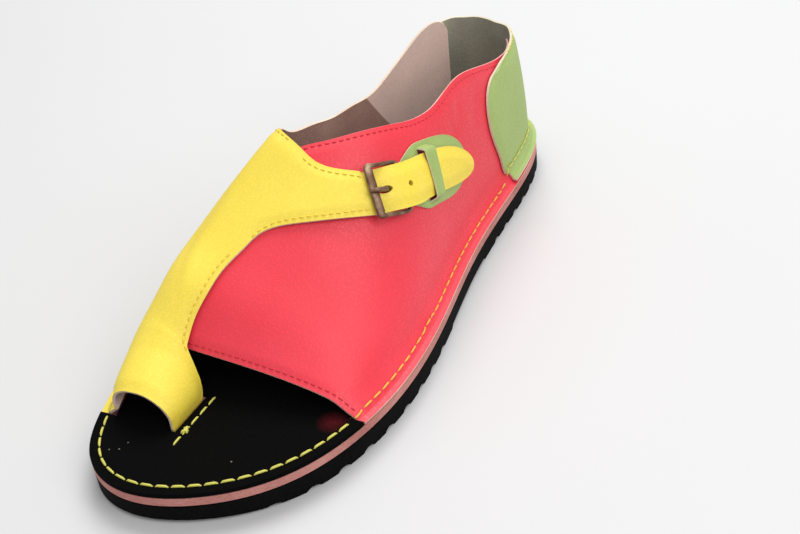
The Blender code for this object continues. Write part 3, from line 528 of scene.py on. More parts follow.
def leather_material(name, colour, deep, cell, grain, roughness, depth):
    """Finished leather: pebbled grain of that cell size, soft shade changes and light rubbing."""
    made = Finish(name)
    warp = made.noise(500.0, 2.0, out="Color")
    moved = made.node("ShaderNodeVectorMath", {0: warp, "Scale": 0.0010}, operation="SCALE").outputs[0]
    spot = made.node("ShaderNodeVectorMath", {0: made.place, 1: moved}, operation="ADD").outputs[0]
    cells = made.node("ShaderNodeTexVoronoi", {"Vector": spot, "Scale": 1 / cell}, feature="F1")
    pebble = made.remap(cells.outputs["Distance"], 0.05, 0.62, 1.0, 0.0, interpolation_type="SMOOTHSTEP")
    shade = made.between(made.remap(made.noise(22.0, 3.0, 0.55), 0.32, 0.68), deep, colour)
    base = made.mixed(0.10, shade, pebble, blend_type="MULTIPLY")
    rough = made.remap(pebble, to_low=roughness + 0.10, to_high=roughness - 0.04)
    fine = made.maths("MULTIPLY", made.noise(2600.0, 4.0, 0.6), 0.25)
    return made.shaded(base, rough, 0.5, made.maths("ADD", pebble, fine), grain, depth)


def raw_material(name, low, high, scale, roughness, strength, stretch=(1, 1, 1), pale=None):
    """Matte fibrous surface, for cut edges, flesh sides and raw leather. pale gives a light
    colour for the lined heel end and the toe loop, with the seam between at LINING_SEAM."""
    made = Finish(name)
    fibre = made.noise(scale, 6.0, 0.7, stretch)
    share = made.remap(made.maths("ADD", made.noise(35.0, 3.0), fibre), 0.75, 1.25)
    base = made.between(share, low, high)
    if pale:
        spot = made.node("ShaderNodeSeparateXYZ", {"Vector": made.place}).outputs
        lean = made.maths("SUBTRACT", spot["X"], spot["Z"])
        heel = made.remap(lean, LINING_SEAM + 0.0007, LINING_SEAM)
        toe = made.remap(spot["X"], *LOOP_LIGHT)
        light = made.between(share, tuple(0.82 * c for c in pale), pale)
        base = made.mixed(made.maths("MAXIMUM", heel, toe), base, light)
    return made.shaded(base, roughness, 0.2, fibre, strength, 0.0004)


def black_leather_material():
    """Matte black leather with a little dust and one faint red spot, a painted reflection of the red leather
    beside it.
    """
    made = Finish("insole_leather")
    fine = made.noise(1500.0, 5.0, 0.65)
    specks = made.node("ShaderNodeTexVoronoi", {"Vector": made.place, "Scale": 260.0}).outputs["Distance"]
    small = made.maths("LESS_THAN", specks, 0.075)
    chosen = made.maths("GREATER_THAN", made.noise(60.0, 4.0), 0.52)
    base = made.between(fine, (0.0008, 0.0008, 0.0008), (0.0034, 0.0033, 0.0033))
    dusty = made.mixed(made.maths("MULTIPLY", small, chosen), base, (0.16, 0.13, 0.11, 1))
    # Painted red reflection of the red leather, fading from its middle out to its reach; rubbed holds the
    # black with this painted red mixed in
    away = made.node("ShaderNodeVectorMath", {0: made.place, 1: RED_REFLECTION}, operation="DISTANCE")
    near = made.remap(away.outputs["Value"], RED_REFLECTION_REACH, 0.0, 0.0, 0.35)
    rubbed = made.mixed(made.maths("MULTIPLY", near, fine), dusty, (0.35, 0.02, 0.03, 1))
    return made.shaded(rubbed, 0.85, 0.03, fine, 0.35, 0.0003)


def rubber_material():
    """Matte black rubber, dusty grey in places and with a faint moulded texture."""
    made = Finish("sole_rubber")
    fine = made.noise(900.0, 5.0, 0.7, (1, 1, 0.35))
    share = made.remap(made.maths("ADD", made.noise(30.0, 4.0), fine), 0.75, 1.3)
    base = made.between(share, (0.0010, 0.0010, 0.0010), (0.0038, 0.0038, 0.0042))
    return made.shaded(base, 0.72, 0.05, fine, 0.5, 0.0003)


def brass_material():
    """Aged dark brass, rubbed brighter in places."""
    made = Finish("aged_brass")
    noise = made.noise(260.0, 4.0)
    base = made.between(made.remap(noise, 0.36, 0.74), (0.15, 0.085, 0.055), (0.36, 0.25, 0.17))
    rough = made.remap(noise, to_low=0.55, to_high=0.38)
    return made.shaded(base, rough, 0.5, noise, 0.1, 0.0002, metallic=1.0)


def thread_material(name, colour):
    made = Finish(name)
    noise = made.noise(3500.0, 3.0)
    base = made.between(noise, tuple(0.72 * c for c in colour), colour)
    return made.shaded(base, 0.55, 0.5, noise, 0.5, 0.0002)


# Where the heel end's lining begins: along the shoe from its middle less the height
LINING_SEAM = -0.1030
# Along the shoe, from where the toe loop's flesh side grows light to where it is all light
LOOP_LIGHT = (0.050, 0.070)
# Middle and reach of the faint painted red reflection on the footbed
RED_REFLECTION = (0.0820, 0.0334, 0.0117)
RED_REFLECTION_REACH = 0.0055
# Each colour's top side (two shades, size, strength of the grain, roughness and depth), the
# shades of its flesh side and of its cut edges, and a paler flesh side if it has one
LEATHERS = {
    "red": (((0.82, 0.040, 0.068), (0.77, 0.027, 0.048), 0.00100, 0.40, 0.42, 0.00010),
            ((0.42, 0.22, 0.18), (0.60, 0.36, 0.31)), ((0.55, 0.25, 0.21), (0.80, 0.52, 0.45)), None),
    "yellow": (((0.88, 0.70, 0.075), (0.85, 0.65, 0.055), 0.00080, 0.16, 0.50, 0.00008),
               ((0.33, 0.185, 0.145), (0.50, 0.305, 0.25)), ((0.52, 0.38, 0.28), (0.78, 0.64, 0.50)),
               (0.98, 0.74, 0.64)),
    "green": (((0.36, 0.475, 0.145), (0.31, 0.425, 0.115), 0.00085, 0.30, 0.50, 0.00008),
              ((0.33, 0.33, 0.26), (0.48, 0.47, 0.38)), ((0.52, 0.46, 0.34), (0.76, 0.70, 0.54)), None),
}
FINISHES = {colour: (leather_material(colour + "_leather", *top),
                     raw_material(colour + "_flesh_side", *flesh, 900.0, 0.92, 0.5, pale=pale),
                     raw_material(colour + "_cut_edge", *edge, 1400.0, 0.85, 0.5))
            for colour, (top, flesh, edge, pale) in LEATHERS.items()}
TAN = raw_material("raw_tan_leather", (0.36, 0.135, 0.115), (0.58, 0.27, 0.235), 700.0, 0.72, 0.45, (1, 1, 3))
BLACK = black_leather_material()
RUBBER = rubber_material()
BRASS = brass_material()
YELLOW_THREAD = thread_material("yellow_thread", (0.66, 0.62, 0.11))
# The yellow welt thread where it runs over red leather, made orange by a painted reflection of the red
WELT_THREAD_RED_REFLECTION = thread_material("welt_thread_painted_red_reflection", (0.86, 0.50, 0.06))
RED_THREAD = thread_material("red_thread", (0.62, 0.016, 0.034))
LINE_THREAD = thread_material("ochre_thread", (0.86, 0.62, 0.05))
# Colour of the needle holes: painted shade inside the holes
PINHOLE_SHADE = raw_material("pinhole_shade", (0.42, 0.13, 0.03), (0.55, 0.18, 0.05), 900.0, 0.95, 0.1)


def placed(name, data):
    """New object in the scene with that data."""
    made = bpy.data.objects.new(name, data)
    bpy.context.scene.collection.objects.link(made)
    return made


def mesh_piece(name, points, faces, finishes, node=None, kinds=None):
    """Object of points, set in the part's frame, that takes the place of a node if one is named."""
    mesh = bpy.data.meshes.new(name)
    mesh.from_pydata((np.asarray(points) + ORIGIN).tolist(), [], [tuple(map(int, f)) for f in faces])
    for finish in finishes:
        mesh.materials.append(finish)
    if kinds is not None:
        mesh.polygons.foreach_set("material_index", np.asarray(kinds, np.int32))
    mesh.shade_smooth()
    obj = placed(name, mesh)
    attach(obj, "root")
    if node:
        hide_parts(node)
    return obj


def round_edges(obj, width, segments=2, angle=35):
    bevel = obj.modifiers.new("round", "BEVEL")
    bevel.width = width
    bevel.segments = segments
    bevel.limit_method = "ANGLE"
    bevel.angle_limit = math.radians(angle)
    bevel.harden_normals = True


def grid_faces(rows, columns):
    r, c = np.meshgrid(np.arange(rows - 1), np.arange(columns - 1), indexing="ij")
    at = (r * columns + c).ravel()
    return np.stack([at, at + 1, at + columns + 1, at + columns], axis=1)


def point_normals(points, faces):
    """Normals at the points from the faces about them."""
    a, b, c, d = (points[faces[:, k]] for k in range(4))
    across = np.cross(c - a, d - b)
    total = np.zeros(points.shape)
    for k in range(4):
        np.add.at(total, faces[:, k], across)
    return unit(total)


def shell(name, flesh, faces, wall, colour, node):
    """Leather panel with its wall outward from the flesh side, and rounded cut edges."""
    faces = np.asarray(faces)
    normals = point_normals(flesh, faces)
    count = len(flesh)
    polygons = [tuple(f) for f in faces] + [tuple(f[::-1] + count) for f in faces]
    sides = dict.fromkeys((int(a), int(b)) for f in faces for a, b in zip(f, np.roll(f, -1)))
    rim = [(a, b) for a, b in sides if (b, a) not in sides]
    polygons += [(b, a, a + count, b + count) for a, b in rim]
    kinds = [0] * len(faces) + [1] * len(faces) + [2] * len(rim)
    edge = flesh[[a for a, _ in rim]]
    away = np.array([np.sqrt(((edge - point) ** 2).sum(axis=1).min()) for point in flesh])
    outer = flesh + normals * (wall * (EDGE_SHARE + (1 - EDGE_SHARE) * smooth(away / SKIVE)))[:, None]
    obj = mesh_piece(name, np.concatenate([outer, flesh]), polygons, FINISHES[colour],
                     node, kinds)
    round_edges(obj, EDGE_ROUND, angle=50)
    return outer, normals


def grid_shell(name, points, colour, node, creased):
    """Panel from a grid of points; gives back its outer points and their normals as grids."""
    faces = grid_faces(*points.shape[:2])
    flat = points.reshape(-1, 3)
    if creased:
        flat = folds(flat, point_normals(flat, faces))
    return [part.reshape(points.shape) for part in shell(name, flat, faces, LEATHER, colour, node)]


def inset(outer, normals, distance):
    """Path that runs a distance inside the first points of a grid's rows, and its normals."""
    steps = [lengths(row) for row in outer]
    path = np.array([read_run(distance, *row) for row in zip(steps, outer)])
    return path, unit(np.array([read_run(distance, *row) for row in zip(steps, normals)]))


def ring_faces(rings, sides, closed=False, first=0):
    """Faces between rings of points, with two end caps unless the last ring joins the first."""
    faces = []
    for r in range(rings if closed else rings - 1):
        here = first + r * sides
        there = first + (r + 1) % rings * sides
        for s in range(sides):
            t = (s + 1) % sides
            faces.append((here + s, here + t, there + t, there + s))
    if not closed:
        last = first + (rings - 1) * sides
        faces.append(tuple(range(first, first + sides))[::-1])
        faces.append(tuple(range(last, last + sides)))
    return faces


def sweep(path, beside, up, wide, tall, sides, power=1.0):
    """Points of oval rings about a path; a power below 1 makes the rings squarer."""
    turns = 2 * math.pi * np.arange(sides)[:, None] / sides
    across, along = (np.copysign(abs(wave(turns)) ** power, wave(turns)) for wave in (np.cos, np.sin))
    rings = [spot + w * across * b + t * along * u for spot, b, u, w, t in zip(path, beside, up, wide, tall)]
    return list(np.concatenate(rings))


def stitches(name, path, normals, pitch, length, radius, finish):
    """Row of sewn stitches along a path, each an arched thread with its ends in the leather.
    Gives back where the threads go in and the way out of the leather there."""
    steps = lengths(path)
    count = max(int(steps[-1] / pitch), 1)
    middles = (steps[-1] - (count - 1) * pitch) / 2 + pitch * np.arange(count)
    sides, rings = 6, 7
    shares = np.linspace(-1, 1, rings)
    arch = radius * (0.75 * np.sqrt(np.clip(1 - shares**4, 0, 1)) - 0.25 - 0.5 * abs(shares) ** 8)
    thick = radius * (1 - 0.45 * shares**4)
    points = []
    faces = []
    holes = []
    for middle in middles:
        at = np.clip(middle + shares * length / 2, 0, steps[-1])
        line = read_run(at, steps, path)
        out = unit(read_run(at, steps, normals))
        beside = unit(np.cross(out, unit(np.gradient(line, axis=0))))
        line = line + out * arch[:, None]
        faces += ring_faces(rings, sides, first=len(points))
        points += sweep(line, beside, out, thick, thick, sides)
        holes += [(line[0], out[0]), (line[-1], out[-1])]
    mesh_piece(name, points, faces, [finish])
    return holes


def pinholes(name, holes, radius):
    """Needle holes where the stitches go in, as small discs whose dark colour is painted shade inside the
    holes.
    """
    centres, outs = (np.array(part) for part in zip(*holes))
    beside = unit(np.cross(outs, (0.3, 0.5, 0.81)))
    size = np.full(len(holes), radius)
    points = sweep(centres + outs * radius * 0.42, beside, np.cross(outs, beside), size, size, 8)
    mesh_piece(name, points, np.arange(len(points)).reshape(-1, 8), [PINHOLE_SHADE])


# Soft folds of the leather: ends as station and place, half width and height in metres
CREASES = (
    ((0.330, 0.50), (0.395, 0.66), 0.0035, -0.0004),
    ((0.345, 0.47), (0.365, 0.60), 0.0022, 0.0003),
    ((0.270, 0.52), (0.315, 0.70), 0.0030, -0.0003),
)


def folds(points, normals):
    """Points raised along their normals by the soft folds."""
    total = np.zeros(points.shape[:-1])
    for start, end, width, height in CREASES:
        a = FOOT.bare(start[0] * SOLE_LENGTH, start[1])
        b = FOOT.bare(end[0] * SOLE_LENGTH, end[1])
        share = np.clip(((points - a) @ (b - a)) / ((b - a) @ (b - a)), 0, 1)
        away = np.linalg.norm(points - (a + share[..., None] * (b - a)), axis=-1)
        total += height * np.exp(-((away / width) ** 2)) * smooth(4 * share) * smooth(4 * (1 - share))
    return points + normals * total[..., None]


# Rib places from the flange's rim to the foot of the wall, and points from there to the edge
FOOT_RUN = np.array([3.0, 2.7, 2.4, 2.2, 2.0, 1.85, 1.67, 1.5, 1.33, 1.16, 1.0])
DOME = 46


def panel(side, rims, tops, top_places, lift_at):
    """Grid of points from the flange's rim up to a panel's edge, a row a station."""
    share = np.linspace(0, 1, DOME + 1)[1:]
    x_dome = rims[:, None] + (tops - rims)[:, None] * smooth(share)
    v_dome = side + (top_places[:, None] - side) * share
    x = np.concatenate([np.repeat(rims[:, None], len(FOOT_RUN), axis=1), x_dome], axis=1)
    v = np.concatenate([np.repeat(side * FOOT_RUN[None], len(rims), axis=0), v_dome], axis=1)
    return FOOT.point(x, v, lift_at(v))


def outer_quarter():
    """Outer quarter and vamp in one leather."""
    rows = row_values(QUARTER_ROWS, 190)
    points = panel(1, *(rows[:, :2] * SOLE_LENGTH).T, rows[:, 2], lambda v: 0 * v)
    return grid_shell("outer_quarter", points, "red", "quarter_outer", True)


def lap_lift(v):
    """Rise of the saddle over the quarter, from one side of the top to the other."""
    return LAP * smooth((v - LAP_START) / LAP_RUN)


def arch_row(rim_x, top_x, cover, shares):
    """Row of points up the toe loop's arch, from its inner foot over a share of its length."""
    axis, _, reach = FOOT.stance(-1, rim_x)[:3]
    inner = axis[1] - (reach - FLANGE_REACH)
    outer = SLIT_BREADTH * BALL_WIDTH
    middle = (inner + outer) / 2
    half = (outer - inner) / 2
    height = (ARCH_FRONT_HEIGHT + ARCH_RISE * (LOOP_FRONT - rim_x / SOLE_LENGTH)) * INSTEP_HEIGHT
    angle = np.linspace(0, math.pi, 241)
    power = np.where(angle < math.pi / 2, 2 / ARCH_INNER_FULLNESS, 2 / ARCH_OUTER_FULLNESS)
    swing = np.sign(np.cos(angle)) * abs(np.cos(angle)) ** power
    rise = np.sin(angle).clip(0) ** power
    bow = np.stack([middle - half * swing, FILLET_RADIUS + (height - FILLET_RADIUS) * rise], axis=1)
    bow = np.concatenate([bow, [[outer, 0.0]]])
    y, z = (np.interp(cover * shares, spread(bow, 0), bow[:, k]) for k in (0, 1))
    return np.stack([rim_x + (top_x - rim_x) * smooth(shares), y, UPPER_BASE + z], axis=1)


def inner_piece():
    """Inner quarter, saddle, toe loop and strap in one leather."""
    rear = row_values(INNER_REAR_ROWS, 96)
    root = row_values(INNER_ROOT_ROWS, 33)[1:]
    front = row_values(INNER_FRONT_ROWS, 40)[1:]
    loop_at = np.linspace(0, len(LOOP_ROWS) - 1, 46)
    loop = read_run(loop_at, range(len(LOOP_ROWS)), np.array(LOOP_ROWS))
    for _ in range(2):
        loop[1:-1] = (loop[:-2] + 2 * loop[1:-1] + loop[2:]) / 4
    plain = np.concatenate([rear, root, front])
    arch_share = np.concatenate([np.zeros(len(rear) + len(root)),
                                 0.95 * smooth(np.arange(1, len(front) + 1) / len(front))])
    points = panel(-1, *(plain[:, :2] * SOLE_LENGTH).T, plain[:, 2], lap_lift)
    feet = len(FOOT_RUN)
    shares = np.linspace(0, 1, DOME + 1)[1:]
    for i in np.nonzero(arch_share)[0]:
        bow = arch_row(*plain[i, :2] * SOLE_LENGTH, ARCH_COVER, shares)
        drop = (points[i, -1] - bow[-1] + (0.0, 0.0, SEAT_GAP)) * arch_share[i]
        mixed = points[i, feet:] * (1 - arch_share[i]) + bow * arch_share[i]
        points[i, feet:] = mixed + drop * smooth((shares - 0.4) / 0.6)[:, None]
    rims = loop[:, 0] * SOLE_LENGTH
    foot = FOOT.point(rims[:, None], -FOOT_RUN[None])
    bows = np.array([arch_row(*row[:2] * SOLE_LENGTH, row[2], shares) for row in loop])
    points = np.concatenate([points, np.concatenate([foot, bows], axis=1)])
    n, m = points.shape[:2]
    # the rows where plain panel and loop meet are evened out
    first, last = len(plain) - 16, len(plain) + 14
    for _ in range(6):
        calm = (points[first - 1:last - 1] + 2 * points[first:last] + points[first + 1:last + 1]) / 4
        points[first:last] = calm
    flat = points.reshape(-1, 3)
    root_ids = np.arange(len(rear) - 1, len(rear) + len(root)) * m + m - 1
    rows = len(root_ids)
    columns = strap_columns(flat[root_ids])
    ids = np.concatenate([root_ids, len(flat) + np.arange(len(columns) * rows)]).reshape(-1, rows)
    faces = [grid_faces(n, m)[:, ::-1]]
    for here, there in zip(ids, ids[1:]):
        faces.append(np.stack([here[:-1], here[1:], there[1:], there[:-1]], axis=1))
    faces = np.concatenate(faces)
    everything = np.concatenate([flat] + columns)
    everything = folds(everything, point_normals(everything, faces))
    grids = shell("inner_quarter_saddle_and_strap", everything, faces, LEATHER, "yellow", "inner_piece")
    main = [grid[:n * m].reshape(n, m, 3) for grid in grids]
    strap = [grid[n * m:].reshape(-1, rows, 3) for grid in grids]
    marks = {"rear": len(rear), "root": len(rear) + len(root), "front": len(plain)}
    return main, strap, marks


def strap_columns(root):
    """Point columns of the strap after its root, each from the upper to the lower edge."""
    count = len(root)
    shares = np.linspace(0, 1, count)
    coarse = [root]
    for upper, lower, climb in STRAP_ROWS:
        lift = LAP + (STRAP_OVER_PATCH - LAP) * climb
        station, place = (a + (b - a) * shares for a, b in zip(upper, lower))
        coarse.append(FOOT.point(station * SOLE_LENGTH, place, lift))
    nose = STRAP_NOSE * STRAP_HALF
    angle = np.radians(np.linspace(6, 84, 14))
    straight = np.linspace(0, STRAP.length - nose, 60)
    runs = np.concatenate([straight, STRAP.length - nose * (1 - np.sin(angle))])
    halves = STRAP_HALF * np.concatenate([np.ones(60), np.cos(angle)])
    columns = [STRAP.point(np.full(count, along), half * (1 - 2 * shares), strap_lift(along))
               for along, half in zip(runs, halves)]
    coarse += columns[:9:4]
    table = np.array(coarse).reshape(len(coarse), -1)
    end = chord_knots(table)[len(STRAP_ROWS) + 1]
    bridge = chord_spline(table)(np.linspace(0, end, 26)[1:-1])
    return [row.reshape(count, 3) for row in bridge] + columns


def heel_counter():
    """Heel piece, wrapped round the back over both quarters."""
    points = []
    for s in np.arange(-60, 61) / 60:
        side = 1 if s >= 0 else -1
        front = COUNTER_OUTER if side > 0 else COUNTER_INNER
        spots = row_values([(10 * reach, place) for reach, place in front], 401)[::-1]
        top = COUNTER_TOP_CENTRE + (front[-1][1] - COUNTER_TOP_CENTRE) * abs(s) ** COUNTER_TOP_POWER
        places = np.concatenate([FOOT_RUN, 1 + (top - 1) * np.arange(1, 37) / 36])
        away = np.interp(places, spots[:, 1], spots[:, 0] / 10) * SOLE_LENGTH * abs(s)
        start, end = COUNTER_CLIMB[side]
        lift = (LAP + SEAT_GAP / 2) * smooth((away - start) / (end - start))
        points.append(FOOT.point(HEEL_X + away, side * places, lift))
    return grid_shell("heel_cover", np.array(points), "green", "heel_counter", False)


def patch_half_width(along):
    """Half width of the patch: a round front and a narrower tab behind."""
    ahead = along - PATCH_CENTRE
    if ahead >= 0:
        return PATCH_HALF_WIDTH * math.sqrt(max(1 - (ahead / PATCH_ROUND) ** PATCH_POWER, PATCH_END))
    share = smooth((-ahead - TAB_START) / TAB_RUN)
    return PATCH_HALF_WIDTH + (TAB_HALF_WIDTH - PATCH_HALF_WIDTH) * share


def buckle_patch():
    """Round patch whose middle strip is raised over the strap as a keeper."""
    full_half = STRAP_HALF + STRAP_CLEARANCE
    slit_half = full_half + KEEPER_SLOPE
    keeper_end = KEEPER_START + KEEPER_WIDTH
    zones = (("before", BUCKLE_LENGTH - WIRE_RADIUS / 2, KEEPER_START, 24),
             ("keeper", KEEPER_START, keeper_end, 6),
             ("after", keeper_end, PATCH_CENTRE + PATCH_ROUND, 26))
    columns = [(x, zone) for zone, start, end, count in zones for x in np.linspace(start, end, count)]
    slope = list(np.linspace(slit_half, full_half, 5))
    inner = [-s for s in slope] + list(np.linspace(-full_half, full_half, 19))[1:-1] + slope[::-1]
    points = []
    index = {}
    faces = []
    rows = []
    for along, zone in columns:
        half = patch_half_width(along)
        if half > slit_half * 1.05:
            breadths = list(np.linspace(-half, -slit_half, 4))[:-1] + inner
            breadths += list(np.linspace(slit_half, half, 4))[1:]
        else:
            breadths = list(np.linspace(-half, half, len(inner) + 6))
        row = []
        for r, across in enumerate(breadths):
            joined = r <= 3 or r >= len(breadths) - 4
            key = (round(along, 6), r, None if joined else zone)
            if key not in index:
                lift = LAP
                if zone == "keeper" and not joined:
                    rise = smooth((slit_half - abs(across)) / (slit_half - full_half))
                    lift += (KEEPER_LIFT - LAP) * rise
                index[key] = len(points)
                points.append(STRAP.point(along + BUCKLE_SKEW * across, across, lift))
            row.append(index[key])
        rows.append((zone, row))
    for (zone, left), (other, right) in zip(rows, rows[1:]):
        if zone == other:
            faces += zip(left, right, right[1:], left[1:])
    shell("strap_keeper_patch", np.array(points), faces, PATCH_WALL * PATCH_LEATHER, "green", "buckle_patch")


def tube(name, path, outs, wide, tall, closed, node):
    """Brass rod swept along a path with an oval section, wide across it and tall along outs."""
    if closed:
        ahead = unit(np.roll(path, -1, axis=0) - np.roll(path, 1, axis=0))
    else:
        ahead = unit(np.gradient(path, axis=0))
    beside = unit(np.cross(outs, ahead))
    up = unit(np.cross(ahead, beside))
    sides = 14
    points = sweep(path, beside, up, wide, tall, sides, ROD_POWER)
    mesh_piece(name, points, ring_faces(len(path), sides, closed), [BRASS], node)


def buckle():
    """Frame with a flat wide bar over the strap, and the prong through the strap's hole."""
    corner = FRAME_CORNER
    side = STRAP_HALF + FRAME_SPARE - corner
    hinge = BUCKLE_LENGTH - corner
    loop = []
    centres = ((hinge, side, 0.0), (corner, side, 0.5), (corner, -side, 1.0), (hinge, -side, 1.5))
    for along, across, turn in centres:
        for k in range(9):
            angle = (turn + 0.5 * k / 8) * math.pi
            loop.append((along + corner * math.cos(angle), across + corner * math.sin(angle)))
    spots = []
    for here, after in zip(np.array(loop), np.array(loop[1:] + loop[:1])):
        steps = 12 if math.dist(here, after) > 2 * corner else 1
        spots += [here + (after - here) * k / steps for k in range(steps)]
    along, across = np.array(spots).T
    lift = BAR_LIFT + (HINGE_LIFT - BAR_LIFT) * smooth(along / BUCKLE_LENGTH)
    path = STRAP.point(along + BUCKLE_SKEW * across, across, lift)
    flat = 1 - smooth(along / BAR_FLAT)
    tube("buckle_ring", path, FOOT.normal(*STRAP.at(along)[:2]), FRAME_WIDE + BAR_WIDER * flat,
         FRAME_TALL - BAR_LOWER * flat, True, "buckle_frame")
    over_bar = BAR_LIFT + WIRE_RADIUS + SEAT_GAP + PRONG_RADIUS
    low = LAP + PRONG_RADIUS + SEAT_GAP
    start = BUCKLE_LENGTH - WIRE_RADIUS - SEAT_GAP
    rows = ((start, HINGE_LIFT - PRONG_DROP), (start - 0.0020, low), (0.0055, low + 0.0010),
            (HOLE_ALONG, low + 0.0036), (0.0019, over_bar - PRONG_DROP), (0.0, over_bar),
            (-PRONG_TIP, over_bar - PRONG_DROP))
    along, lift = row_values(rows, 40).T
    width = PRONG_RADIUS * (1 - 0.35 * smooth((np.linspace(0, 1, 40) - 0.8) / 0.2))
    tube("buckle_tongue", STRAP.point(along, 0.0, lift), FOOT.normal(*STRAP.at(along)[:2]), width, width,
         False, "buckle_prong")


def slab(name, outline, bottom, top, finish, node):
    """Flat piece between two heights."""
    outline = np.asarray(outline)
    count = len(outline)
    after = np.roll(outline, -1, axis=0)
    faces = ring_faces(2, count)
    if np.sum(outline[:, 0] * after[:, 1] - after[:, 0] * outline[:, 1]) < 0:
        faces = [face[::-1] for face in faces]
    points = np.concatenate([np.c_[outline, np.full(count, height)] for height in (bottom, top)])
    return mesh_piece(name, points, faces, [finish], node)


def cutter(add, place, **sizes):
    """Body that an operator makes, moved to a place of the shoe, to cut with."""
    add(**sizes)
    made = bpy.context.object
    made.location = Vector(ORIGIN) + Vector(place)
    return made


def cut_away(obj, cutters):
    """Work the cutters' shapes out of the object's mesh, with its other modifiers worked in."""
    for body in cutters:
        modifier = obj.modifiers.new(body.name, "BOOLEAN")
        modifier.operation = "DIFFERENCE"
        modifier.object = body
    graph = bpy.context.evaluated_depsgraph_get()
    mesh = bpy.data.meshes.new_from_object(obj.evaluated_get(graph))
    obj.modifiers.clear()
    obj.data = mesh
    for body in cutters:
        bpy.data.objects.remove(body, do_unlink=True)


def insole_outline():
    """Outline of the footbed: full width at the open toe, inside the upper behind it."""
    fronts = {1: VAMP_FRONT, -1: LOOP_FRONT}
    starts = {side: front * SOLE_LENGTH + INSOLE_CLEARANCE for side, front in fronts.items()}
    first, last = ((starts[side], float(np.interp(starts[side], *FOOT.edges[side].T))) for side in (1, -1))
    open_toe = [(x, y) for x, y in closed_outline(16) if x > starts[1 if y > 0 else -1]]
    points = [first] + open_toe + [last]
    for side in (-1, 1):
        run = []
        for x in (*np.linspace(starts[side], FAN_X, 60), *np.linspace(FAN_X, HEEL_X, 40)[1:]):
            axis, way, reach = FOOT.stance(side, x)[:3]
            run.append(tuple(axis + way * (reach - FLANGE_REACH - INSOLE_CLEARANCE + INSOLE_TUCK)))
        points += run if side < 0 else run[-2::-1]
    return points


def sole():
    """Outsole with cross grooves, a plain waist and toe spring, midsole and insole."""
    cylinder = bpy.ops.mesh.primitive_cylinder_add
    cube = bpy.ops.mesh.primitive_cube_add
    rubber = slab("rubber_sole", closed_outline(14), 0.0, LUG_DEPTH + OUTSOLE_BASE, RUBBER,
                  "outsole")
    cutters = []
    for span in (HEEL_GROOVES, FOREFOOT_GROOVES):
        for i in range(int((span[1] - span[0]) * SOLE_LENGTH / LUG_PITCH) + 1):
            place = (span[0] * SOLE_LENGTH + LUG_PITCH * i, 0.0, LUG_DEPTH - GROOVE_RADIUS)
            groove = cutter(cylinder, place, vertices=28, radius=GROOVE_RADIUS, depth=2 * BALL_WIDTH)
            groove.rotation_euler = (math.pi / 2, 0.0, 0.0)
            cutters.append(groove)
    start, end = (share * SOLE_LENGTH for share in WAIST)
    waist = cutter(cube, ((start + end) / 2, 0.0, 0.0), size=2.0)
    for vertex in waist.data.vertices:
        x, y, z = vertex.co
        half = (end - start) / 2 - (WAIST_SLOPE if z > 0 else 0.0)
        vertex.co = (math.copysign(half, x), y * BALL_WIDTH, math.copysign(LUG_DEPTH, z))
    run = TOE_RUN * SOLE_LENGTH
    toe = cutter(cube, (SOLE_LENGTH - run, 0.0, 0.0), size=1.0)
    for vertex in toe.data.vertices:
        x, y, z = vertex.co
        vertex.co = ((x + 0.5) * 1.4 * run, y * 2 * BALL_WIDTH, (z - 0.5) * 4 * LUG_DEPTH)
    toe.rotation_euler = (0.0, -math.atan2(TOE_SPRING, run), 0.0)
    cut_away(rubber, cutters + [waist, toe])
    round_edges(rubber, RUBBER_ROUND)
    band = slab("midsole_band", closed_outline(14), SOLE_TOP - MIDSOLE_THICKNESS, SOLE_TOP, TAN,
                "midsole")
    round_edges(band, MIDSOLE_ROUND)
    bed = slab("footbed", insole_outline(), UPPER_BASE, FOOTBED_TOP, BLACK, "insole")
    place = ((LOOP_FRONT + LOOP_REAR) / 2 * SOLE_LENGTH, SLIT_BREADTH * BALL_WIDTH + LEATHER / 2, UPPER_BASE)
    slit = cutter(cube, place, size=1.0)
    slit.scale = ((LOOP_FRONT - LOOP_REAR) * SOLE_LENGTH + SLIT_SPARE, TOE_SLIT_WIDTH, 6 * INSOLE_THICKNESS)
    cut_away(bed, [slit])
    round_edges(bed, FOOTBED_ROUND, 3)


def strap_holes(strap_piece):
    """Holes through the strap: a stretched one for the prong and a spare round one."""
    cutters = []
    for along, length in ((HOLE_ALONG, HOLE_LENGTH), (HOLE_ALONG + HOLE_PITCH, 1.6 * HOLE_RADIUS)):
        hole = cutter(bpy.ops.mesh.primitive_cylinder_add, (0, 0, 0), vertices=28, radius=HOLE_RADIUS,
                      depth=0.012)
        for vertex in hole.data.vertices:
            vertex.co.x *= length / (2 * HOLE_RADIUS)
            vertex.co.y *= min(length / (2 * HOLE_RADIUS), 1.0)
        x, place, side = STRAP.at(along)
        out = Vector(FOOT.normal(x, place))
        across = Vector(side)
        turned = Matrix((across.cross(out), across, out)).transposed().to_4x4()
        turned.translation = Vector(STRAP.point(along, 0.0, strap_lift(along)) + ORIGIN)
        hole.matrix_world = turned
        cutters.append(hole)
    bpy.context.view_layer.update()
    cut_away(strap_piece, cutters)


def welt_path():
    """Flat path of the sole's stitches, just inside its edge."""
    outline = closed_outline(24)
    ahead = unit(np.roll(outline, -1, axis=0) - np.roll(outline, 1, axis=0))
    inward = np.stack([-ahead[:, 1], ahead[:, 0]], axis=1)
    if np.sum(inward * (outline.mean(axis=0) - outline)) < 0:
        inward = -inward
    return outline + inward * WELT_INSET


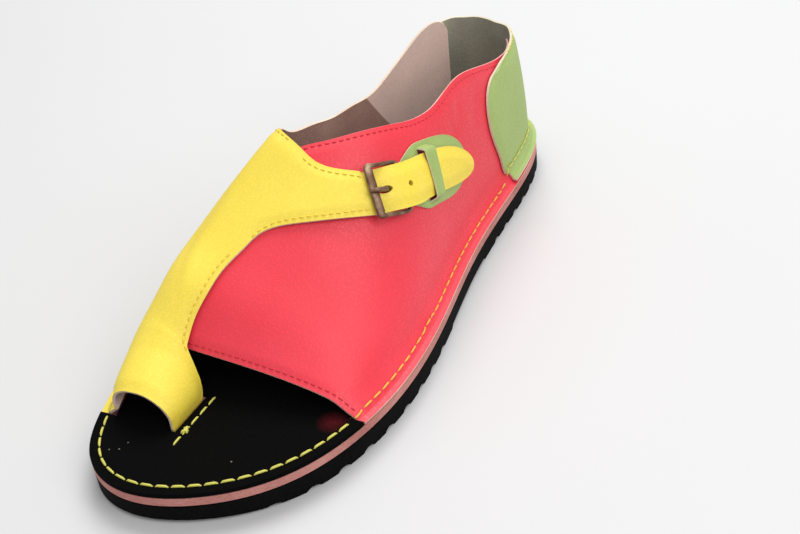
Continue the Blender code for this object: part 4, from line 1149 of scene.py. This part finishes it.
def surface_height(grid, normals, spots):
    """Height and normal of a panel's topmost surface over flat spots, -1 where it isn't near."""
    grid = grid.reshape(-1, 3)
    low = grid[:, 2] < SOLE_TOP + SURFACE_HIGH
    cloud, normals = grid[low], normals.reshape(-1, 3)[low]
    heights = []
    outs = []
    for spot in spots:
        away = np.hypot(*(cloud[:, :2] - spot).T)
        near = np.argsort(away)[:6]
        if away[near[0]] > SURFACE_NEAR:
            heights.append(-1.0)
            outs.append((0.0, 0.0, 1.0))
            continue
        near = near[cloud[near, 2] > cloud[near, 2].max() - SURFACE_NEAR]
        weight = 1 / (away[near] + 1e-5)
        heights.append(np.sum(cloud[near, 2] * weight) / weight.sum())
        outs.append(np.sum(normals[near] * weight[:, None], axis=0) / weight.sum())
    return heights, unit(np.array(outs))


def split_runs(path, normals, which):
    """Stretches of a closed path for each kind of ground it runs over."""
    change = [i for i in range(len(which)) if which[i] != which[i - 1]]
    if not change:
        return [(which[0], path, normals)]
    runs = []
    for start, end in zip(change, change[1:] + [change[0] + len(which)]):
        pick = np.arange(start, end + 1) % len(which)
        runs.append((which[start], path[pick], normals[pick]))
    return runs


def mirrored(grid):
    """Points and normals of a grid with its rows turned about, to start at the other edge."""
    return [part[:, ::-1] for part in grid]


def sew(quarter, inner, strap, marks, counter):
    """Every row of stitches but the slit's."""
    flat = welt_path()
    heights = np.full(len(flat), FOOTBED_TOP)
    outs = np.tile((0.0, 0.0, 1.0), (len(flat), 1))
    which = ["black"] * len(flat)
    for ground, grid in (("red", quarter), ("yellow", inner), ("green", counter)):
        for i, (height, out) in enumerate(zip(*surface_height(*grid, flat))):
            if height > heights[i]:
                which[i], heights[i], outs[i] = ground, height, out
    for n, (ground, run, out) in enumerate(split_runs(np.c_[flat, heights], outs, which)):
        if lengths(run)[-1] < WELT_PITCH:
            continue
        long, thick = (1.0, 1.0) if ground == "black" else (0.9, 0.75)
        # over the red leather the welt thread is given the painted red reflection
        stitches(f"sole_stitches_{n}_{ground}", run + out * 0.0001, out, WELT_PITCH, long * WELT_STITCH,
                 thick * WELT_RADIUS, WELT_THREAD_RED_REFLECTION if ground == "red" else YELLOW_THREAD)
    strap_root = [part[:24] for part in strap]
    holes = []
    for name, grid, stretch, thread, slot in (
            ("collar", mirrored(quarter), slice(8, 138), RED_THREAD, "red"),
            ("vamp_front", [part[::-1].transpose(1, 0, 2) for part in quarter], slice(6, None),
             RED_THREAD, "red"),
            ("inner_collar", mirrored(inner), slice(4, marks["rear"] - 2), LINE_THREAD, "yellow"),
            ("saddle", mirrored(inner), slice(marks["root"] + 2, marks["front"] + 6), LINE_THREAD, "yellow"),
            ("strap_upper", strap_root, slice(None), LINE_THREAD, "yellow"),
            ("strap_lower", mirrored(strap_root), slice(None), LINE_THREAD, "yellow"),
            ("heel_top", mirrored(counter), slice(6, -6), LINE_THREAD, "green")):
        path, out = inset(*grid, EDGE_INSET)
        holes += stitches(name + "_stitches", path[stretch], out[stretch], FINE_PITCH, FINE_STITCH,
                          FINE_RADIUS, thread)
    pinholes("fine_needle_hole_shade", holes, PINHOLE_RADIUS)


def slit_stitches():
    """Stitches beside the toe slit, with a knot where they end."""
    y = SLIT_BREADTH * BALL_WIDTH + SLIT_SEAM_ASIDE
    x = np.linspace(*SLIT_SEAM, 30) * SOLE_LENGTH
    path = np.stack([x, np.full(30, y), np.full(30, FOOTBED_TOP)], axis=1)
    up = np.tile((0.0, 0.0, 1.0), (30, 1))
    stitches("slit_stitches", path, up, WELT_PITCH, WELT_STITCH, 0.9 * WELT_RADIUS, YELLOW_THREAD)
    for n, (turn, at) in enumerate(KNOT_THREADS):
        middle = np.array([KNOT_STATION * SOLE_LENGTH + at, y, FOOTBED_TOP + KNOT_LIFT])
        way = np.array([math.cos(turn), math.sin(turn), 0.0])
        knot = middle + way * np.linspace(-0.0016, 0.0016, 8)[:, None]
        stitches(f"slit_knot_{n}", knot, up[:8], 0.0032, 0.0026, 1.2 * WELT_RADIUS, YELLOW_THREAD)


def set_camera():
    """Camera at the photograph's angle to the shoe."""
    azimuth, elevation, roll = (math.radians(a) for a in (CAMERA_AZIMUTH, CAMERA_ELEVATION, CAMERA_ROLL))
    back = Vector((math.cos(azimuth) * math.cos(elevation), math.sin(azimuth) * math.cos(elevation),
                   math.sin(elevation)))
    data = bpy.data.cameras.new("photo_camera")
    data.lens = CAMERA_LENS
    data.sensor_width = 36.0
    data.clip_start = 0.01
    camera = placed("photo_camera", data)
    level = back.to_track_quat("Z", "Y").to_matrix().to_4x4()
    stand = Matrix.Translation(Vector(CAMERA_AIM) + back * CAMERA_DISTANCE)
    camera.matrix_world = stand @ level @ Matrix.Rotation(-roll, 4, "Z")
    bpy.context.scene.camera = camera


def area_light(name, place, size, power):
    """Square light aimed at the shoe."""
    data = bpy.data.lights.new(name, "AREA")
    data.size = size
    data.energy = power
    lamp = placed(name, data)
    lamp.location = place
    lamp.rotation_euler = (Vector(LIGHT_AIM) - lamp.location).to_track_quat("-Z", "Y").to_euler()


def studio():
    """Pale floor and soft light."""
    mesh = bpy.data.meshes.new("floor")
    corners = [(-1, -1), (1, -1), (1, 1), (-1, 1)]
    mesh.from_pydata([(FLOOR_HALF * x, FLOOR_HALF * y, 0) for x, y in corners], [], [(0, 1, 2, 3)])
    finish = Finish("pale_floor")
    base = finish.between(finish.noise(3.0, 2.0), (0.560, 0.560, 0.565), (0.58, 0.58, 0.583))
    finish.fill(finish.shader, {"Base Color": base, "Roughness": 0.6})
    mesh.materials.append(finish.material)
    placed("floor", mesh)
    world = bpy.data.worlds.new("soft_room")
    world.use_nodes = True
    background = world.node_tree.nodes["Background"]
    background.inputs["Color"].default_value = (1.0, 1.0, 1.0, 1)
    background.inputs["Strength"].default_value = 0.60
    bpy.context.scene.world = world
    area_light("key", (-0.65, -0.15, 1.15), 0.8, 13.8)
    area_light("fill", (0.35, 0.9, 0.9), 1.0, 9.3)


set_camera()
studio()
sole()
quarter_grid = outer_quarter()
inner_grid, strap_grid, row_marks = inner_piece()
strap_holes(bpy.data.objects["inner_quarter_saddle_and_strap"])
counter_grid = heel_counter()
buckle_patch()
buckle()
sew(quarter_grid, inner_grid, strap_grid, row_marks, counter_grid)
slit_stitches()
bpy.context.scene.view_settings.view_transform = "Standard"

bpy.context.view_layer.update()
